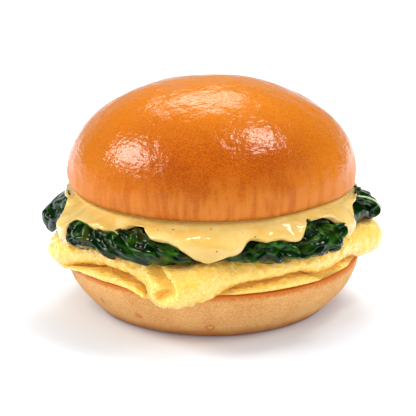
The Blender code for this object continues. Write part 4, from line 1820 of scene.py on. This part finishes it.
@dataclass
class Seasoning:
    """Crushed spice that is stuck to the sauce and the egg, all in one mesh."""

    grain_radius: float = 0.26
    strewn: int = 46
    seed: int = 11
    reach: float = 30.0
    ranges: tuple[tuple[float, float], ...] = (ALL_ROUND, (19.5, 40.2), (0.4, 0.8))
    stretch: Triple = (1.35, 0.85, 0.5)
    placed: tuple[Triple, ...] = (
        (-151.5, 28.6, 1.1), (-125.5, 26.8, 0.9), (-104.5, 39.2, 1.25), (-90.5, 39.4, 1.0),
        (-88.5, 33.5, 0.9), (-87.5, 29.8, 1.0), (-30.0, 27.0, 0.8), (-22.0, 26.0, 0.9), (-75.0, 37.5, 0.8),
        (-112.0, 25.5, 0.8),
    )

    def build_grain(self) -> Piece:
        """Makes one broken flake, from which all the others are copied.

        Returns:
            The new object.
        """
        deselect_all()
        bpy.ops.mesh.primitive_ico_sphere_add(subdivisions=2, radius=self.grain_radius * MM)
        bpy.ops.object.mode_set(mode="EDIT")
        bpy.ops.mesh.select_all(action="SELECT")
        bpy.ops.transform.resize(value=self.stretch, center_override=(0.0, 0.0, 0.0))
        bpy.ops.object.mode_set(mode="OBJECT")
        grain = started("crushed_spice")
        sculpt(grain, lambda point, normal: point + normal * 0.3 * noise.noise(point * 4.0))
        return grain

    def build(self, below: Sequence[Piece]) -> Piece:
        """Strews the flakes over what lies below them.

        Args:
            below: The objects that the flakes stick to.

        Returns:
            The new object.
        """
        tree = surfaces(below)
        luck = random.Random(self.seed)
        places = list(self.placed)
        for _ in range(self.strewn):
            places.append(tuple(luck.uniform(low, high) for low, high in self.ranges))
        first = self.build_grain()
        flakes = []
        for angle, height, size in places:
            hit, facing = met(tree, angle, height, self.reach)
            if hit is None:
                continue
            flake = first.copy()
            flake.data = first.data.copy()
            bpy.context.collection.objects.link(flake)
            turned = facing.to_track_quat("Z", "Y") @ Quaternion((0.0, 0.0, 1.0), luck.uniform(0.0, 6.0))
            turned = turned.to_matrix().to_4x4()
            flake.data.transform(Matrix.Translation(hit) @ turned @ Matrix.Scale(size, 4))
            flakes.append(flake)
        bpy.data.objects.remove(first)
        deselect_all()
        for flake in flakes:
            flake.select_set(True)
        bpy.context.view_layer.objects.active = flakes[0]
        bpy.ops.object.join()
        spice = bpy.context.active_object
        spice.name = "crushed_spice"
        smooth_shade(spice, 40.0)
        return spice

    def dress(self, spice: Piece) -> None:
        """Finishes the flakes."""
        wear(spice, Layer.SAUCE, CrushedSpice().make())


@dataclass(frozen=True)
class SoftBox:
    """A soft light: its place, size and watts, and whether it shows in gloss and lights matt surfaces."""

    direction: Triple
    distance: float
    width: float
    height: float
    watts: float
    gleams: bool = True
    lights: bool = True
    colour: Colour = (1.0, 1.0, 1.0)


@dataclass
class Studio:
    """The plain pale studio: the floor, the soft lights and the camera."""

    distance: float = 500.0
    elevation: float = 17.0
    target: Triple = (-1.4, 0.0, 31.5)
    lens: float = 125.05
    sensor: float = 36.0
    sharp_from: float = 0.01
    sharp_to: float = 20.0
    lit_at: Triple = (0.0, 0.0, 35.0)
    floor_drop: float = 0.1
    floor_size: float = 6000.0
    floor_colour: Colour = (0.74, 0.77, 0.83)
    surround: Colour = (0.975, 0.99, 1.0)
    surround_strength: float = 0.68
    lights: tuple[SoftBox, ...] = (
        SoftBox((-0.742, -0.029, 0.668), 900.0, 460.0, 400.0, 4.8, colour=KEY_TINT),
        SoftBox((-0.08, 0.69, 0.72), 900.0, 460.0, 200.0, 1.1, colour=KEY_TINT),
        SoftBox((0.37, 0.09, 0.92), 900.0, 230.0, 230.0, 1.9, colour=KEY_TINT),
        SoftBox((0.0, 1.0, 0.08), 1300.0, 2600.0, 700.0, 1.7, lights=False, colour=(1.0, 0.95, 0.85)),
        SoftBox((-0.85, -0.3, 0.4), 900.0, 500.0, 500.0, 1.1, gleams=False, colour=FILL_TINT),
        SoftBox((0.8, -0.1, 0.45), 900.0, 500.0, 500.0, 3.7, gleams=False, colour=FILL_TINT),
        SoftBox((0.2, 0.66, 0.72), 900.0, 500.0, 500.0, 5.0, gleams=False, colour=FILL_TINT),
        SoftBox((-0.3, -0.9, 0.1), 1100.0, 900.0, 400.0, 3.4, gleams=False),
        SoftBox((0.5, -0.85, 0.05), 1100.0, 600.0, 400.0, 1.4, gleams=False),
    )

    def set_floor(self) -> None:
        """A wide pale floor under the sandwich."""
        deselect_all()
        place = Vector((0.0, 0.0, -self.floor_drop)) * MM
        bpy.ops.mesh.primitive_plane_add(size=self.floor_size * MM, location=place)
        floor = started("studio_floor")
        settle(floor)
        paper = Finish("studio_paper", specular_ior_level=0.1)
        paper.colour(self.floor_colour)
        paper.roughness(0.9)
        floor.data.materials.append(paper.material)

    def set_lights(self) -> None:
        """Soft boxes round the sandwich, and an even pale surround."""
        middle = Vector(self.lit_at) * MM
        for index, box in enumerate(self.lights):
            place = middle + Vector(box.direction).normalized() * box.distance * MM
            bpy.ops.object.light_add(type="AREA", location=place)
            light = bpy.context.active_object
            light.name = f"soft_box_{index}"
            light.rotation_euler = (middle - place).to_track_quat("-Z", "Y").to_euler()
            light.data.shape = "ELLIPSE"
            light.data.size = box.width * MM
            light.data.size_y = box.height * MM
            light.data.energy = box.watts
            light.data.color = box.colour
            light.visible_glossy = box.gleams
            light.visible_diffuse = box.lights
        world = bpy.data.worlds.new("studio")
        world.use_nodes = True
        backdrop = world.node_tree.nodes["Background"]
        backdrop.inputs["Color"].default_value = (*self.surround, 1.0)
        backdrop.inputs["Strength"].default_value = self.surround_strength
        world.cycles_visibility.glossy = False
        bpy.context.scene.world = world

    def set_camera(self) -> None:
        """The camera, in front of the sandwich and a little above it."""
        target = Vector(self.target) * MM
        tilt = radians(self.elevation)
        place = target + Vector((0.0, -cos(tilt), sin(tilt))) * self.distance * MM
        bpy.ops.object.camera_add(location=place)
        camera = bpy.context.active_object
        camera.name = "studio_camera"
        camera.rotation_euler = (target - place).to_track_quat("-Z", "Y").to_euler()
        camera.data.lens = self.lens
        camera.data.sensor_width = self.sensor
        camera.data.clip_start = self.sharp_from
        camera.data.clip_end = self.sharp_to
        bpy.context.scene.camera = camera

    def build(self) -> None:
        """Sets up the whole studio."""
        self.set_floor()
        self.set_lights()
        self.set_camera()
        bpy.context.scene.view_settings.view_transform = "Standard"
        log.info("studio: floor, %d lights and camera", len(self.lights))


def main() -> None:
    """Builds the sandwich from the plate up, and the studio round it."""
    logging.basicConfig(level=logging.INFO, format="%(asctime)s %(name)s: %(message)s")
    Studio().build()
    heel = BunHeel()
    heel.dress(heel.build())
    omelette = Omelette()
    egg = omelette.build()
    omelette.dress(egg)
    heap = SpinachHeap(omelette)
    leaves = heap.build()
    crown = BunCrown()
    cheese = CheeseSauce(crown, omelette)
    sauce = cheese.build([egg, *leaves])
    cheese.dress(sauce)
    draped = heap.build_draped([sauce, *leaves])
    heap.dress([*leaves, *draped])
    seasoning = Seasoning()
    seasoning.dress(seasoning.build([egg, sauce]))
    wear(heap.build_stem(), Layer.SPINACH, PaleStem().make())
    crown.dress(crown.build())
    deselect_all()


if __name__ == "__main__":
    main()
